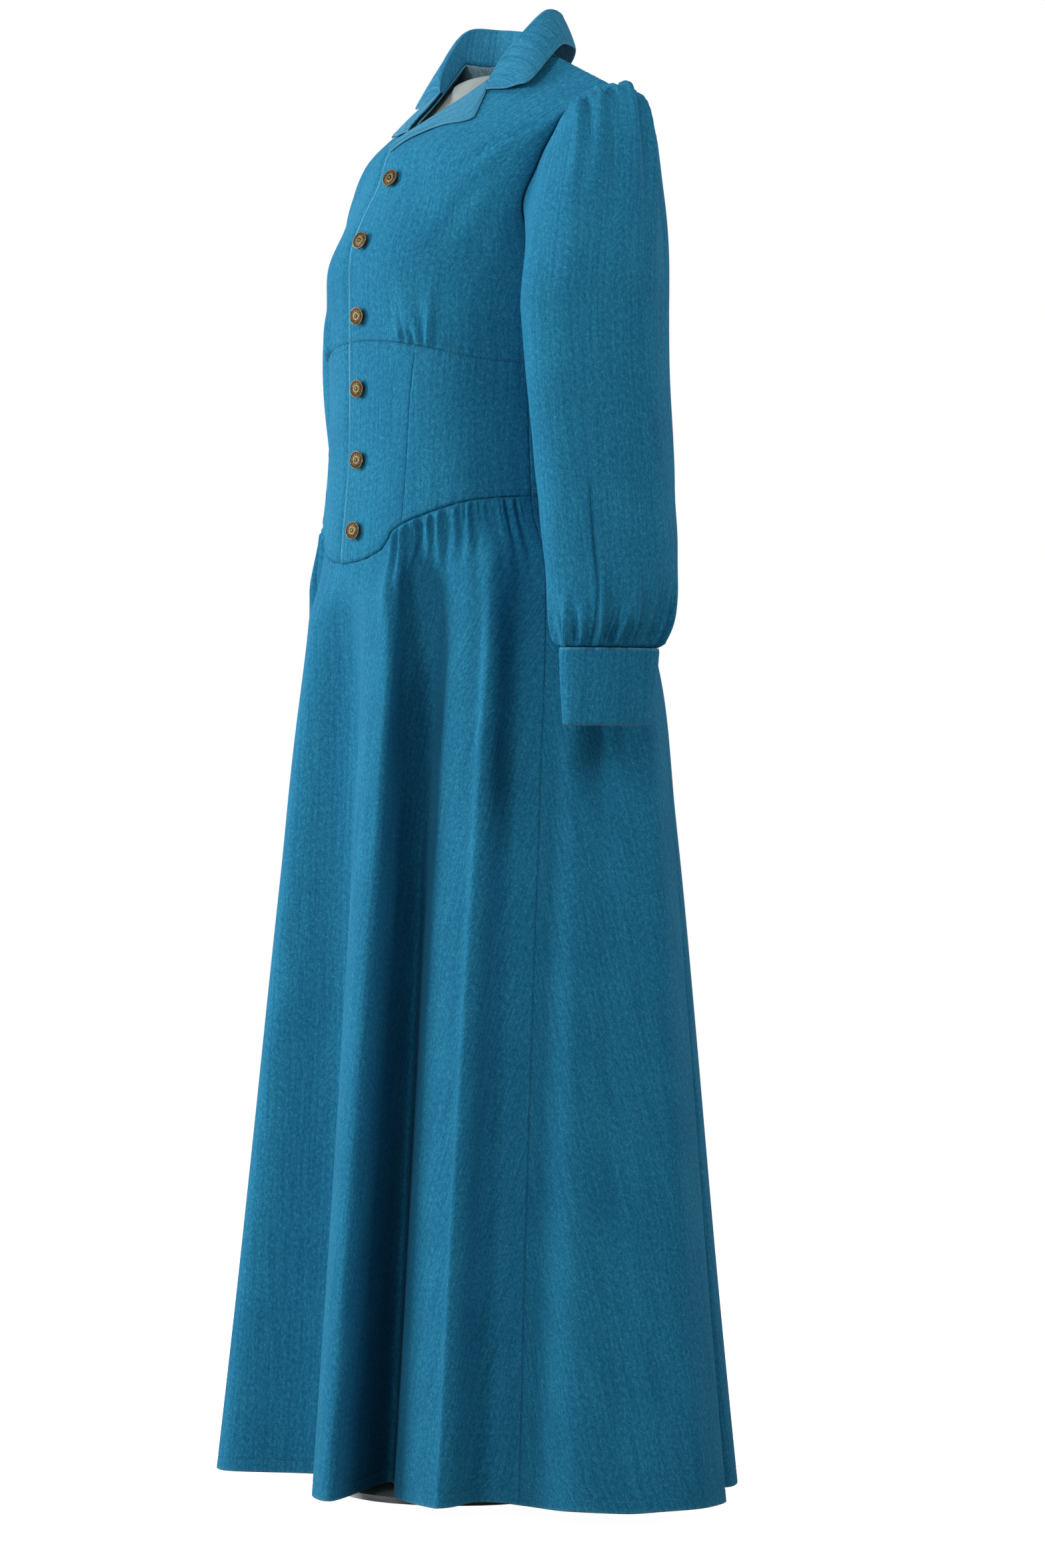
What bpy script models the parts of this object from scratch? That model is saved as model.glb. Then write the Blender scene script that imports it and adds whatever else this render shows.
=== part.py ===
"""Denim maxi dress with a notched collar, worn by a limbless dress form on a round base.

Metres, +Z up. The wearer faces -Y and the wearer's left is +X. The origin is the centre of the
underside of the form's base. Every cloth piece is a thin closed wall whose outer side follows one
body surface, cut along the seams.
"""

import math

import bmesh
import bpy
import numpy as np
from mathutils import Matrix

# Driving sizes
WALL = 0.0016
SEAM_GAP = 0.0003
HEM_HEIGHT = 0.015
NECK_HALF_WIDTH = 0.072
NECK_SIDE = (0.072, 0.050, 1.438)
SHOULDER_TIP = (0.187, 0.072, 1.385)
BACK_NECK = (0.080, 1.430)
FRONT_NECK = (0.006, 1.398)
PLACKET_EDGE = -0.010
UNDERLAP_EDGE = 0.018
UNDERLAP_STEP = WALL + 0.0008
BREAK_STEP = 0.0012
BREAK_HEIGHT = 1.305
CUFF_TOP = 0.835
CUFF_BOTTOM = 0.761
UNDERLAP_MARKS = (0.0115, 0.0195)
BUTTON_DIAMETER = 0.018
BUTTON_TILT = math.radians(14.0)

# Buttons from the top: height and distance from the centre front
BUTTONS = (
    (1.302, 0.018),
    (1.239, 0.014),
    (1.166, 0.014),
    (1.0945, 0.014),
    (1.024, 0.015),
    (0.954, 0.017),
)

FORM_CLEARANCE = 0.005
FORM_SEAT_GAP = 0.0005
FORM_BOTTOM = 0.935
FORM_TOP = 1.413
FORM_CENTRE_Y = 0.030
POLE_RADIUS = 0.014
BASE_RADIUS = 0.120
BASE_THICKNESS = 0.006

# Body sections from the yoke seam to the underbust seam. Columns: height, half width, depth at the
# front, at the back and at the sides, squareness (2 is an ellipse).
BODY = (
    (0.900, 0.166, -0.129, 0.118, -0.004, 2.10),
    (0.955, 0.160, -0.125, 0.112, -0.005, 2.10),
    (1.020, 0.153, -0.119, 0.105, -0.005, 2.10),
    (1.080, 0.150, -0.118, 0.102, -0.005, 2.10),
    (1.115, 0.150, -0.118, 0.103, -0.005, 2.12),
    (1.150, 0.151, -0.118, 0.105, -0.004, 2.15),
)

# Front rows of the bodice. Columns: y and z of the centre line, x, y and z of the side seam (from
# row 3 of the armhole), squareness, x of the front edge.
FRONT_ROWS = (
    (-0.1180, 1.142, 0.1500, -0.0050, 1.115, 2.12, PLACKET_EDGE),
    (-0.1180, 1.188, 0.1510, -0.0010, 1.145, 2.12, PLACKET_EDGE),
    (-0.1160, 1.232, 0.1510, 0.0080, 1.175, 2.12, PLACKET_EDGE),
    (-0.1020, 1.268, 0.1500, 0.0200, 1.205, 2.15, PLACKET_EDGE),
    (-0.0850, 1.300, 0.1500, -0.0110, 1.262, 2.20, PLACKET_EDGE),
    (-0.0720, 1.334, 0.1500, 0.0050, 1.308, 2.10, PLACKET_EDGE),
    (-0.0420, 1.361, 0.1560, 0.0180, 1.338, 2.00, 0.014),
    (-0.0080, 1.386, 0.1710, 0.0310, 1.366, 2.00, 0.042),
    (0.0060, 1.398, 0.1870, 0.0720, 1.385, 2.00, NECK_HALF_WIDTH),
)

# Back rows of the bodice, with the same columns but the front edge, and the same side seam
BACK_ROWS = (
    (0.1035, 1.116, 0.1500, -0.0050, 1.115, 2.12),
    (0.1060, 1.148, 0.1510, -0.0010, 1.145, 2.20),
    (0.1090, 1.180, 0.1510, 0.0080, 1.175, 2.30),
    (0.1130, 1.215, 0.1500, 0.0200, 1.205, 2.40),
    (0.1170, 1.262, 0.1550, 0.0750, 1.235, 2.50),
    (0.1180, 1.310, 0.1620, 0.1010, 1.280, 2.50),
    (0.1140, 1.350, 0.1700, 0.1060, 1.325, 2.50),
    (0.1020, 1.392, 0.1800, 0.0980, 1.362, 2.30),
    (0.0800, 1.430, 0.1870, 0.0720, 1.385, 2.00),
)
UNDERARM_ROW = 3
SHOULDER_ROW = 8
BODICE_UPS = (0.0, 0.6, 1.2, 1.8, 2.4, 3.0, 3.5, 4.0, 4.6, 5.2, 5.8, 6.4, 7.0, 7.5, 8.0)

# Bust fullness on each front
BUST_RISE = 0.006
BUST_X = 0.078
BUST_Z = 1.225
BUST_SPREAD = 0.045

# Gathers above the underbust seam: distance from the centre, depth, length
BUST_GATHERS = (
    (0.072, 0.0014, 0.040),
    (0.082, 0.0018, 0.040),
    (0.098, 0.0018, 0.055),
    (0.110, 0.0016, 0.058),
)
BUST_GATHER_HALF_WIDTH = 0.0055

# Columns of a front, as shares from its edge to its side: plain, through the gathers, plain
LEFT_EDGE_SHARES = (0.0, 0.04, 0.14, 0.22)
RIGHT_EDGE_SHARES = (0.0, 0.1046, 0.134, 0.22)
GATHER_SHARES = (0.30, 0.335, 0.37, 0.405, 0.44, 0.475, 0.51, 0.55)
SIDE_SHARES = (0.65, 0.76, 0.88, 1.0)

# Yoke seam: distance from the centre and height, in front
YOKE_SEAM = (
    (0.000, 0.9225),
    (0.045, 0.9300),
    (0.060, 0.9380),
    (0.070, 0.9520),
    (0.080, 0.9580),
    (0.110, 0.9700),
    (0.140, 0.9810),
    (0.158, 0.9850),
)
YOKE_BACK_CENTRE = 0.978

# Princess seam: share of the way up the midriff and degrees from the centre front
PRINCESS_SEAM = (
    (0.00, 30.0),
    (0.40, 31.2),
    (0.72, 33.0),
    (1.00, 35.6),
)

# Skirt swell: height, size against the hem, centre of the ring behind the waist
SWELL = (
    (0.985, 0.610, 0.000),
    (0.930, 0.680, 0.010),
    (0.836, 0.735, 0.022),
    (0.675, 0.785, 0.024),
    (0.462, 0.846, 0.023),
    (0.249, 0.908, 0.021),
    (0.015, 0.985, 0.019),
)
HEM_HALF_WIDTH = 0.275
HEM_HALF_DEPTH = 0.215

# How far the folds have opened: share of the way down the skirt, share of the hem's depth
FOLD_GROWTH = (
    (0.00, 0.00),
    (0.06, 0.25),
    (0.15, 0.48),
    (0.35, 0.68),
    (0.65, 0.86),
    (1.00, 1.00),
)

# Skirt folds at the hem, from the front centre round the wearer's left side. The first three
# columns are places round the yoke seam in degrees, the others points of the hem in metres.
FOLD_COLUMNS = (
    "ridge_start", "ridge_end", "valley",
    "start_x", "start_y", "end_x", "end_y", "valley_x", "valley_y",
)
FOLDS = (
    (16, 28, 44, 0.060, -0.200, 0.110, -0.203, 0.022, -0.090),
    (56, 67, 82, 0.112, -0.132, 0.199, -0.143, 0.188, -0.078),
    (101, 112, 119, 0.288, -0.034, 0.330, 0.008, 0.332, 0.042),
    (126, 134, 146, 0.331, 0.084, 0.302, 0.132, 0.212, 0.132),
    (156, 166, 178, 0.218, 0.192, 0.150, 0.230, 0.105, 0.150),
    (190, 200, 212, 0.082, 0.242, 0.020, 0.262, -0.005, 0.165),
    (222, 234, 246, -0.066, 0.248, -0.130, 0.228, -0.105, 0.140),
    (258, 270, 280, -0.192, 0.198, -0.245, 0.142, -0.175, 0.080),
    (290, 300, 311, -0.283, 0.062, -0.292, -0.002, -0.205, -0.022),
    (319, 326, 333, -0.262, -0.078, -0.240, -0.118, -0.165, -0.088),
    (341, 349, 362, -0.188, -0.168, -0.144, -0.197, -0.050, -0.118),
)
SKIRT_STEPS = 60
SKIRT_GATHERS = 36
SKIRT_GATHER_DEPTH = 0.0022
SIDE_SEAM_DEGREES = 90.0

# Sleeve rings from the top. Columns: height, x and y of the centre, half sizes along x and y.
SLEEVE_RINGS = (
    (1.165, 0.2160, 0.0310, 0.0540, 0.0775),
    (1.100, 0.2260, 0.0285, 0.0520, 0.0752),
    (1.037, 0.2350, 0.0285, 0.0505, 0.0737),
    (0.985, 0.2420, 0.0280, 0.0505, 0.0725),
    (0.934, 0.2500, 0.0275, 0.0500, 0.0713),
    (0.884, 0.2570, 0.0262, 0.0455, 0.0655),
    (0.858, 0.2600, 0.0235, 0.0370, 0.0600),
    (0.8353, 0.2620, 0.0195, 0.0220, 0.0530),
)
SLEEVE_SWING = {"left": (0.0, 0.0), "right": (-0.004, 0.034)}
SWING_AT_TOP = 0.45
CAP_REACH = 0.15
CAP_FLARE = 0.45
CAP_DROP = 0.22
CAP_GATHER_DEPTH = 0.0030
CUFF_GATHER_DEPTH = 0.0020
SLEEVE_COLUMNS_ROUND = 28

# Cuff rings, with the same columns
CUFF_RINGS = (
    (CUFF_TOP, 0.2620, 0.0195, 0.0235, 0.0545),
    (CUFF_BOTTOM, 0.2630, 0.0150, 0.0205, 0.0465),
)

# Collar stations from the left gorge to the back centre. Columns: x, y and z of the neck seam, of
# the fold line and of the outer edge.
COLLAR_STATIONS = (
    (0.0500, 0.0060, 1.4020, 0.0490, 0.0072, 1.4085, 0.0620, 0.0010, 1.3900),
    (0.0580, 0.0150, 1.4130, 0.0590, 0.0160, 1.4240, 0.1000, 0.0080, 1.3930),
    (0.0660, 0.0300, 1.4280, 0.0690, 0.0330, 1.4480, 0.1150, 0.0190, 1.3990),
    (0.0680, 0.0480, 1.4420, 0.0745, 0.0560, 1.4720, 0.1020, 0.0590, 1.4340),
    (0.0450, 0.0700, 1.4400, 0.0530, 0.0830, 1.4710, 0.0660, 0.0990, 1.4370),
    (0.0000, 0.0810, 1.4360, 0.0000, 0.0930, 1.4640, 0.0000, 0.1180, 1.4240),
)
COLLAR_WALL = 0.0015
COLLAR_ROLL = 0.0078
COLLAR_REST = 0.0010

LAPEL_WALL = 0.0016
LAPEL_REST = 0.0006
LAPEL_ROLL = 0.0012
LAPEL_BREAK = 5.06
LAPEL_TOP = 7.0
LAPEL_STARTS = {"left": 0.0, "right": 0.34}

# Lapel stations from the break to the notch. Columns: share of the roll line, x, y and z of the
# outer edge.
LAPEL_STATIONS = (
    (0.00, -0.0060, -0.0740, 1.3330),
    (0.22, 0.0130, -0.0630, 1.3440),
    (0.50, 0.0400, -0.0500, 1.3520),
    (0.78, 0.0780, -0.0330, 1.3590),
    (1.00, 0.0600, -0.0010, 1.3830),
)


def interpolate(keys, values, at, period=None):
    """A smooth curve through the values at the keys, read at the given places."""
    keys = np.asarray(keys, float)
    values = np.asarray(values, float)
    at = np.asarray(at, float)
    if period:
        keys = np.concatenate([keys[-3:] - period, keys, keys[:3] + period])
        values = np.concatenate([values[-3:], values, values[:3]])
        at = (at - keys[3]) % period + keys[3]
    slopes = np.gradient(values, keys, axis=0)
    left = np.clip(np.searchsorted(keys, at, "right") - 1, 0, len(keys) - 2)
    step = keys[left + 1] - keys[left]
    share = np.clip((at - keys[left]) / step, 0.0, 1.0)
    if values.ndim == 2:
        share = share[..., None]
        step = step[..., None]
    square, cube = share**2, share**3
    return (
        (2 * cube - 3 * square + 1) * values[left]
        + (cube - 2 * square + share) * step * slopes[left]
        + (3 * square - 2 * cube) * values[left + 1]
        + (cube - square) * step * slopes[left + 1]
    )


def ease(share):
    """A share from 0 to 1 with soft ends."""
    share = np.clip(share, 0.0, 1.0)
    return share * share * (3.0 - 2.0 * share)


def unit(vectors):
    """The vectors at length 1."""
    return vectors / np.maximum(np.linalg.norm(vectors, axis=-1, keepdims=True), 1e-12)


def arc_x(degrees, half_width, squareness):
    """Distance from the centre plane on a squarish oval section."""
    sine = np.sin(np.radians(degrees))
    return half_width * np.sign(sine) * np.abs(sine) ** (2.0 / squareness)


def arc_share(degrees, squareness):
    """Share of the section's depth, signed, 1 at the centre front and -1 at the centre back."""
    cosine = np.cos(np.radians(degrees))
    return np.sign(cosine) * np.abs(cosine) ** (2.0 / squareness)


def body_point(degrees, height):
    """The body surface between the yoke and underbust seams; 0 degrees is the centre front."""
    rows = np.array(BODY)
    section = interpolate(rows[:, 0], rows[:, 1:], height)
    half_width, front_y, back_y, side_y, squareness = np.moveaxis(section, -1, 0)
    depth = arc_share(degrees, squareness)
    y = np.where(depth >= 0, side_y + (front_y - side_y) * depth, side_y - (back_y - side_y) * depth)
    return np.stack([arc_x(degrees, half_width, squareness), y, height + 0 * y], -1)


def shoulder_line(x):
    """Height and depth of the shoulder seam at a distance from the centre."""
    share = (x - NECK_SIDE[0]) / (SHOULDER_TIP[0] - NECK_SIDE[0])
    y = NECK_SIDE[1] + (SHOULDER_TIP[1] - NECK_SIDE[1]) * share
    z = NECK_SIDE[2] + (SHOULDER_TIP[2] - NECK_SIDE[2]) * share
    return y, z


def top_edge(x, centre):
    """Depth and height of the neckline, then of the shoulder seam."""
    across = np.abs(x)
    inside = np.clip(across / NECK_HALF_WIDTH, 0.0, 1.0) ** 2.5
    seam_y, seam_z = shoulder_line(np.maximum(across, NECK_HALF_WIDTH))
    neck_y = centre[0] + (NECK_SIDE[1] - centre[0]) * inside
    neck_z = centre[1] + (NECK_SIDE[2] - centre[1]) * inside
    outside = across >= NECK_HALF_WIDTH
    return np.where(outside, seam_y, neck_y), np.where(outside, seam_z, neck_z)


def bodice_point(rows, centre, degrees, up):
    """A point of the bodice from its rows; 0 degrees is the centre line, 90 the side."""
    rows = np.array(rows)
    numbers = np.arange(len(rows))
    degrees, up = np.broadcast_arrays(np.asarray(degrees, float), np.asarray(up, float))

    def on_row(at):
        values = interpolate(numbers, rows[:, :6], at)
        corner = UNDERARM_ROW
        side_seam = interpolate(numbers[:corner + 1], rows[:corner + 1, 2:5], at)
        armhole = interpolate(numbers[corner:], rows[corner:, 2:5], at)
        border = np.where((at <= corner)[..., None], side_seam, armhole)
        near_side = ease((np.abs(degrees) - 60.0) / 30.0)[..., None]
        values[..., 2:5] += near_side * (border - values[..., 2:5])
        centre_y, centre_z, side_x, side_y, side_z, squareness = np.moveaxis(values, -1, 0)
        x = arc_x(degrees, side_x, squareness)
        y = side_y + (centre_y - side_y) * np.abs(arc_share(degrees, squareness))
        z = centre_z + (side_z - centre_z) * (x / side_x) ** 2
        return np.stack([x, y, z], -1)

    points = on_row(up)
    top = on_row(np.full_like(up, SHOULDER_ROW))
    edge_y, edge_z = top_edge(top[..., 0], centre)
    pull = ease((up - 5.5) / 2.5)
    points[..., 1] += pull * (edge_y - top[..., 1])
    points[..., 2] += pull * (edge_z - top[..., 2])
    return points


def bodice_front_point(degrees, up):
    """The front above the underbust seam, with the fullness of the bust."""
    points = bodice_point(FRONT_ROWS, FRONT_NECK, degrees, up)
    across = (np.abs(points[..., 0]) - BUST_X) / BUST_SPREAD
    along = (points[..., 2] - BUST_Z) / BUST_SPREAD
    rise = BUST_RISE * np.exp(-(across**2) - along**2) * ease(up / 1.5)
    points[..., 1] -= rise
    join = body_point(degrees, underbust_height(degrees)) - bodice_point(
        FRONT_ROWS, FRONT_NECK, degrees, np.zeros_like(up)
    )
    return points + join * (1.0 - ease(up / 1.5))[..., None]


def bodice_back_point(degrees, up):
    """The back above the underbust seam; 0 degrees is the centre back."""
    points = bodice_point(BACK_ROWS, BACK_NECK, degrees, up)
    turned = 180.0 - np.asarray(degrees, float)
    join = body_point(turned, underbust_height(turned)) - bodice_point(
        BACK_ROWS, BACK_NECK, degrees, np.zeros_like(up)
    )
    return points + join * (1.0 - ease(up / 1.5))[..., None]


def underbust_height(degrees):
    """Height of the underbust seam round the body."""
    across = np.abs(np.sin(np.radians(degrees)))
    front = np.cos(np.radians(degrees)) >= 0
    centre = np.where(front, FRONT_ROWS[0][1], BACK_ROWS[0][1])
    return centre + (FRONT_ROWS[0][4] - centre) * across**2


def yoke_height(degrees):
    """Height of the yoke seam round the body, with the tab at the centre front."""
    seam = np.array(YOKE_SEAM)
    across = np.abs(arc_x(degrees, seam[-1, 0], BODY[1][5]))
    front = interpolate(seam[:, 0], seam[:, 1], across)
    side = seam[-1, 1]
    back = YOKE_BACK_CENTRE + (side - YOKE_BACK_CENTRE) * (across / seam[-1, 0]) ** 2
    return np.where(np.cos(np.radians(degrees)) >= 0, front, back)


def degrees_at(x, half_width, squareness):
    """Angle on a section whose distance from the centre plane is x."""
    share = np.clip(np.abs(x) / half_width, 0.0, 1.0) ** (squareness / 2.0)
    return np.sign(x) * np.degrees(np.arcsin(share))


def grid_normals(grid, closed):
    """Outward directions of a grid whose columns run round and rows run up."""
    if closed:
        across = np.roll(grid, -1, 1) - np.roll(grid, 1, 1)
    else:
        across = np.gradient(grid, axis=1)
    return unit(np.cross(across, np.gradient(grid, axis=0)))


def pull_in(grid, sides, gap=SEAM_GAP):
    """The grid with the named borders drawn in by half a seam gap."""
    grid = grid.copy()
    half = gap / 2
    if "left" in sides:
        grid[:, 0] += half * unit(grid[:, 1] - grid[:, 0])
    if "right" in sides:
        grid[:, -1] += half * unit(grid[:, -2] - grid[:, -1])
    if "bottom" in sides:
        grid[0] += half * unit(grid[1] - grid[0])
    if "top" in sides:
        grid[-1] += half * unit(grid[-2] - grid[-1])
    return grid


def wall_mesh(name, grid, wall=WALL, closed=False, level=(), shared=()):
    """A closed wall: the grid is its outer side. Level rows are offset sideways, and borders in
    shared, as (rows, columns, direction), along a direction that the next piece shares."""
    normals = grid_normals(grid, closed)
    for rows, columns, direction in shared:
        normals[rows, columns] = direction
    for row in level:
        normals[row, :, 2] = 0.0
    normals = unit(normals)
    rows, columns = grid.shape[:2]
    count = rows * columns
    points = np.concatenate([grid.reshape(-1, 3), (grid - wall * normals).reshape(-1, 3)])
    wrap = columns if closed else columns - 1
    faces = []
    for row in range(rows - 1):
        for column in range(wrap):
            after = (column + 1) % columns
            a, b = row * columns + column, row * columns + after
            c, d = a + columns, b + columns
            faces.append((a, b, d, c))
            faces.append((a + count, c + count, d + count, b + count))
    for column in range(wrap):
        after = (column + 1) % columns
        low, low_next = column, after
        high, high_next = (rows - 1) * columns + column, (rows - 1) * columns + after
        faces.append((low, low + count, low_next + count, low_next))
        faces.append((high, high_next, high_next + count, high + count))
    if not closed:
        for row in range(rows - 1):
            first, last = row * columns, row * columns + columns - 1
            faces.append((first, first + columns, first + columns + count, first + count))
            faces.append((last, last + count, last + columns + count, last + columns))
    mesh = bpy.data.meshes.new(name)
    mesh.from_pydata(points.tolist(), [], faces)
    mesh.validate()
    mesh.shade_smooth()
    mesh.set_sharp_from_angle(angle=math.radians(50))
    return mesh


def add_piece(name, mesh, material):
    """One named object with its own material."""
    piece = bpy.data.objects.new(name, mesh)
    mesh.materials.append(material)
    bpy.context.collection.objects.link(piece)
    return piece


def seam_directions(side_columns, seam_columns, sign=1.0):
    """Offset directions that the front and back share at the side and shoulder seams."""
    below_arm = slice(0, 1 + BODICE_UPS.index(UNDERARM_ROW))
    sideways, upward = (sign, 0.0, 0.0), (0.35 * sign, 0.0, 1.0)
    return (below_arm, side_columns, sideways), (-1, seam_columns, upward)


def mirrored(grid):
    """The same panel on the wearer's right side."""
    return grid[:, ::-1] * np.array([-1.0, 1.0, 1.0])


def surface_material(name, colour, roughness, metallic=0.0):
    """A Principled material."""
    material = bpy.data.materials.new(name)
    material.use_nodes = True
    shader = material.node_tree.nodes["Principled BSDF"]
    shader.inputs["Base Color"].default_value = (*colour, 1.0)
    shader.inputs["Roughness"].default_value = roughness
    shader.inputs["Metallic"].default_value = metallic
    return material


def cloth(name):
    """The dress's denim, one material for each piece."""
    return surface_material(name, (0.022, 0.165, 0.300), 0.85)


def front_edge_degrees(up, edge_x=None):
    """Angle of the front edge of the bodice: the placket, then the neckline."""
    rows = np.array(FRONT_ROWS)
    numbers = np.arange(len(rows))
    side_x = interpolate(numbers, rows[:, 2], up)
    squareness = interpolate(numbers, rows[:, 5], up)
    edge = interpolate(numbers, rows[:, 6], up)
    if edge_x is not None:
        edge = np.where(up < 5.0, edge_x, np.maximum(edge, edge_x))
    return degrees_at(edge, side_x, squareness)


def bust_gather_lift(points):
    """How far the gathers above the underbust seam stand out."""
    lift = np.zeros(points.shape[:2])
    seam = underbust_height(degrees_at(points[..., 0], BODY[4][1], BODY[4][5]))
    above = points[..., 2] - seam
    for across, depth, length in BUST_GATHERS:
        near = (np.abs(points[..., 0]) - across) / BUST_GATHER_HALF_WIDTH
        lift += depth * np.exp(-(near**2)) * (1.0 - ease(above / length))
    return lift


def bodice_front_grid(columns, edge_x=None):
    """The left front from the underbust seam to the shoulder seam."""
    up = np.array(BODICE_UPS)[:, None]
    start = front_edge_degrees(up, edge_x)
    share = np.asarray(columns)[None, :]
    grid = bodice_front_point(start + (90.0 - start) * share, up + 0 * share)
    outward = grid_normals(grid, False)
    return grid + bust_gather_lift(grid)[..., None] * outward


def underlap(grid):
    """The right front, mirrored, with its edge stepped in beneath the left front."""
    grid = mirrored(grid)
    inward = ease((grid[..., 0] - 2.2 * PLACKET_EDGE) / (-PLACKET_EDGE))
    step = UNDERLAP_STEP + BREAK_STEP * ease((grid[..., 2] - BREAK_HEIGHT) / 0.02)
    return grid - (inward * step)[..., None] * grid_normals(grid, False)


def add_bodice():
    """Both fronts and the back above the underbust seam."""
    left = bodice_front_grid([*LEFT_EDGE_SHARES, *GATHER_SHARES, *SIDE_SHARES])
    left = pull_in(left, ("right", "bottom", "top"))
    seams = seam_directions(-1, slice(None))
    add_piece("bodice_front_left", wall_mesh("bodice_front_left", left, level=(0,), shared=seams),
              cloth("denim_front_left"))
    columns = [*RIGHT_EDGE_SHARES, *GATHER_SHARES, *SIDE_SHARES]
    right = underlap(bodice_front_grid(columns, -UNDERLAP_EDGE))
    right = pull_in(right, ("left", "bottom", "top"))
    seams = seam_directions(0, slice(None), -1.0)
    add_piece("bodice_front_right", wall_mesh("bodice_front_right", right, level=(0,), shared=seams),
              cloth("denim_front_right"))
    corner = degrees_at(NECK_HALF_WIDTH, SHOULDER_TIP[0], 2.0)
    seam_steps, neck_steps = 6, 4
    half = np.concatenate([
        np.linspace(90.0, corner, seam_steps + 1), np.linspace(corner, 0.0, neck_steps + 1)[1:],
    ])
    degrees = np.concatenate([half, -half[-2::-1]])[None, :]
    up = np.array(BODICE_UPS)[:, None]
    back = bodice_back_point(degrees + 0 * up, up + 0 * degrees)
    back = pull_in(back, ("left", "right", "bottom", "top"))
    seams = (*seam_directions(0, slice(0, seam_steps + 1)),
             *seam_directions(-1, slice(-seam_steps - 1, None), -1.0))
    add_piece("bodice_back", wall_mesh("bodice_back", back, level=(0,), shared=seams),
              cloth("denim_back"))


def midriff_grid(start, end, shares):
    """A panel between the yoke and underbust seams; start and end give degrees at a height."""
    share = np.asarray(shares)[None, :]
    up = np.linspace(0.0, 1.0, 6)[:, None]
    degrees = start(up) + (end(up) - start(up)) * share
    low, high = yoke_height(degrees), underbust_height(degrees)
    return body_point(degrees, low + (high - low) * up)


def princess_degrees(up):
    """Angle of the princess seam from the yoke seam to the underbust seam."""
    seam = np.array(PRINCESS_SEAM)
    return interpolate(seam[:, 0], seam[:, 1], up)


def edge_degrees(x):
    """The angle of a vertical edge near the centre front, at any height."""
    return lambda up: degrees_at(np.full_like(up, x), BODY[3][1], BODY[3][5])


def add_midriff():
    """Two centre panels, two side panels and the back panel of the fitted midriff."""
    seam_step = 180.0 / SKIRT_STEPS
    princess = PRINCESS_SEAM[0][1]
    side = SIDE_SEAM_DEGREES
    sideways, other_side = (1.0, 0.0, 0.0), (-1.0, 0.0, 0.0)

    def centre_grid(x):
        start = float(edge_degrees(x)(np.array(0.0)))
        marks = np.concatenate([[start], np.arange(0.0, princess + 1.0, seam_step)])
        if x < PLACKET_EDGE:
            step_marks = degrees_at(np.array(UNDERLAP_MARKS), BODY[3][1], BODY[3][5])
            marks = np.concatenate([[start], step_marks, marks[marks > step_marks[1]]])
        return midriff_grid(edge_degrees(x), princess_degrees, (marks - start) / (princess - start))

    centre = pull_in(centre_grid(PLACKET_EDGE), ("right", "bottom", "top"))
    add_piece("midriff_center_left", wall_mesh("midriff_center_left", centre, level=(0, -1)),
              cloth("denim_center_left"))
    lapped = pull_in(underlap(centre_grid(-UNDERLAP_EDGE)), ("left", "bottom", "top"))
    add_piece("midriff_center_right", wall_mesh("midriff_center_right", lapped, level=(0, -1)),
              cloth("denim_center_right"))
    borders = ("left", "right", "bottom", "top")
    marks = np.array([*np.arange(princess, 42.0, seam_step), 42.0, 48, 54, 60, 66, 72, 78, 84, side])
    panel = midriff_grid(princess_degrees, lambda up: np.full_like(up, side),
                         (marks - princess) / (side - princess))
    panel = pull_in(panel, borders)
    add_piece("midriff_side_left",
              wall_mesh("midriff_side_left", panel, level=(0, -1),
                        shared=((slice(None), -1, sideways),)), cloth("denim_side_left"))
    add_piece("midriff_side_right",
              wall_mesh("midriff_side_right", mirrored(panel), level=(0, -1),
                        shared=((slice(None), 0, other_side),)), cloth("denim_side_right"))
    back = midriff_grid(lambda up: np.full_like(up, side), lambda up: np.full_like(up, 360.0 - side),
                        np.linspace(0.0, 1.0, 19))
    seams = ((slice(None), 0, sideways), (slice(None), -1, other_side))
    add_piece("midriff_back",
              wall_mesh("midriff_back", pull_in(back, borders), level=(0, -1), shared=seams),
              cloth("denim_midriff_back"))


def hem_outline(degrees):
    """The folded hem seen from above, by place round the yoke seam."""
    places, points = [], []
    for row in FOLDS:
        fold = dict(zip(FOLD_COLUMNS, row))
        for mark, label in (("ridge_start", "start"), ("ridge_end", "end"), ("valley", "valley")):
            places.append(fold[mark])
            points.append((fold[label + "_x"], fold[label + "_y"]))
    return interpolate(places, points, degrees, period=360.0)


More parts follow.
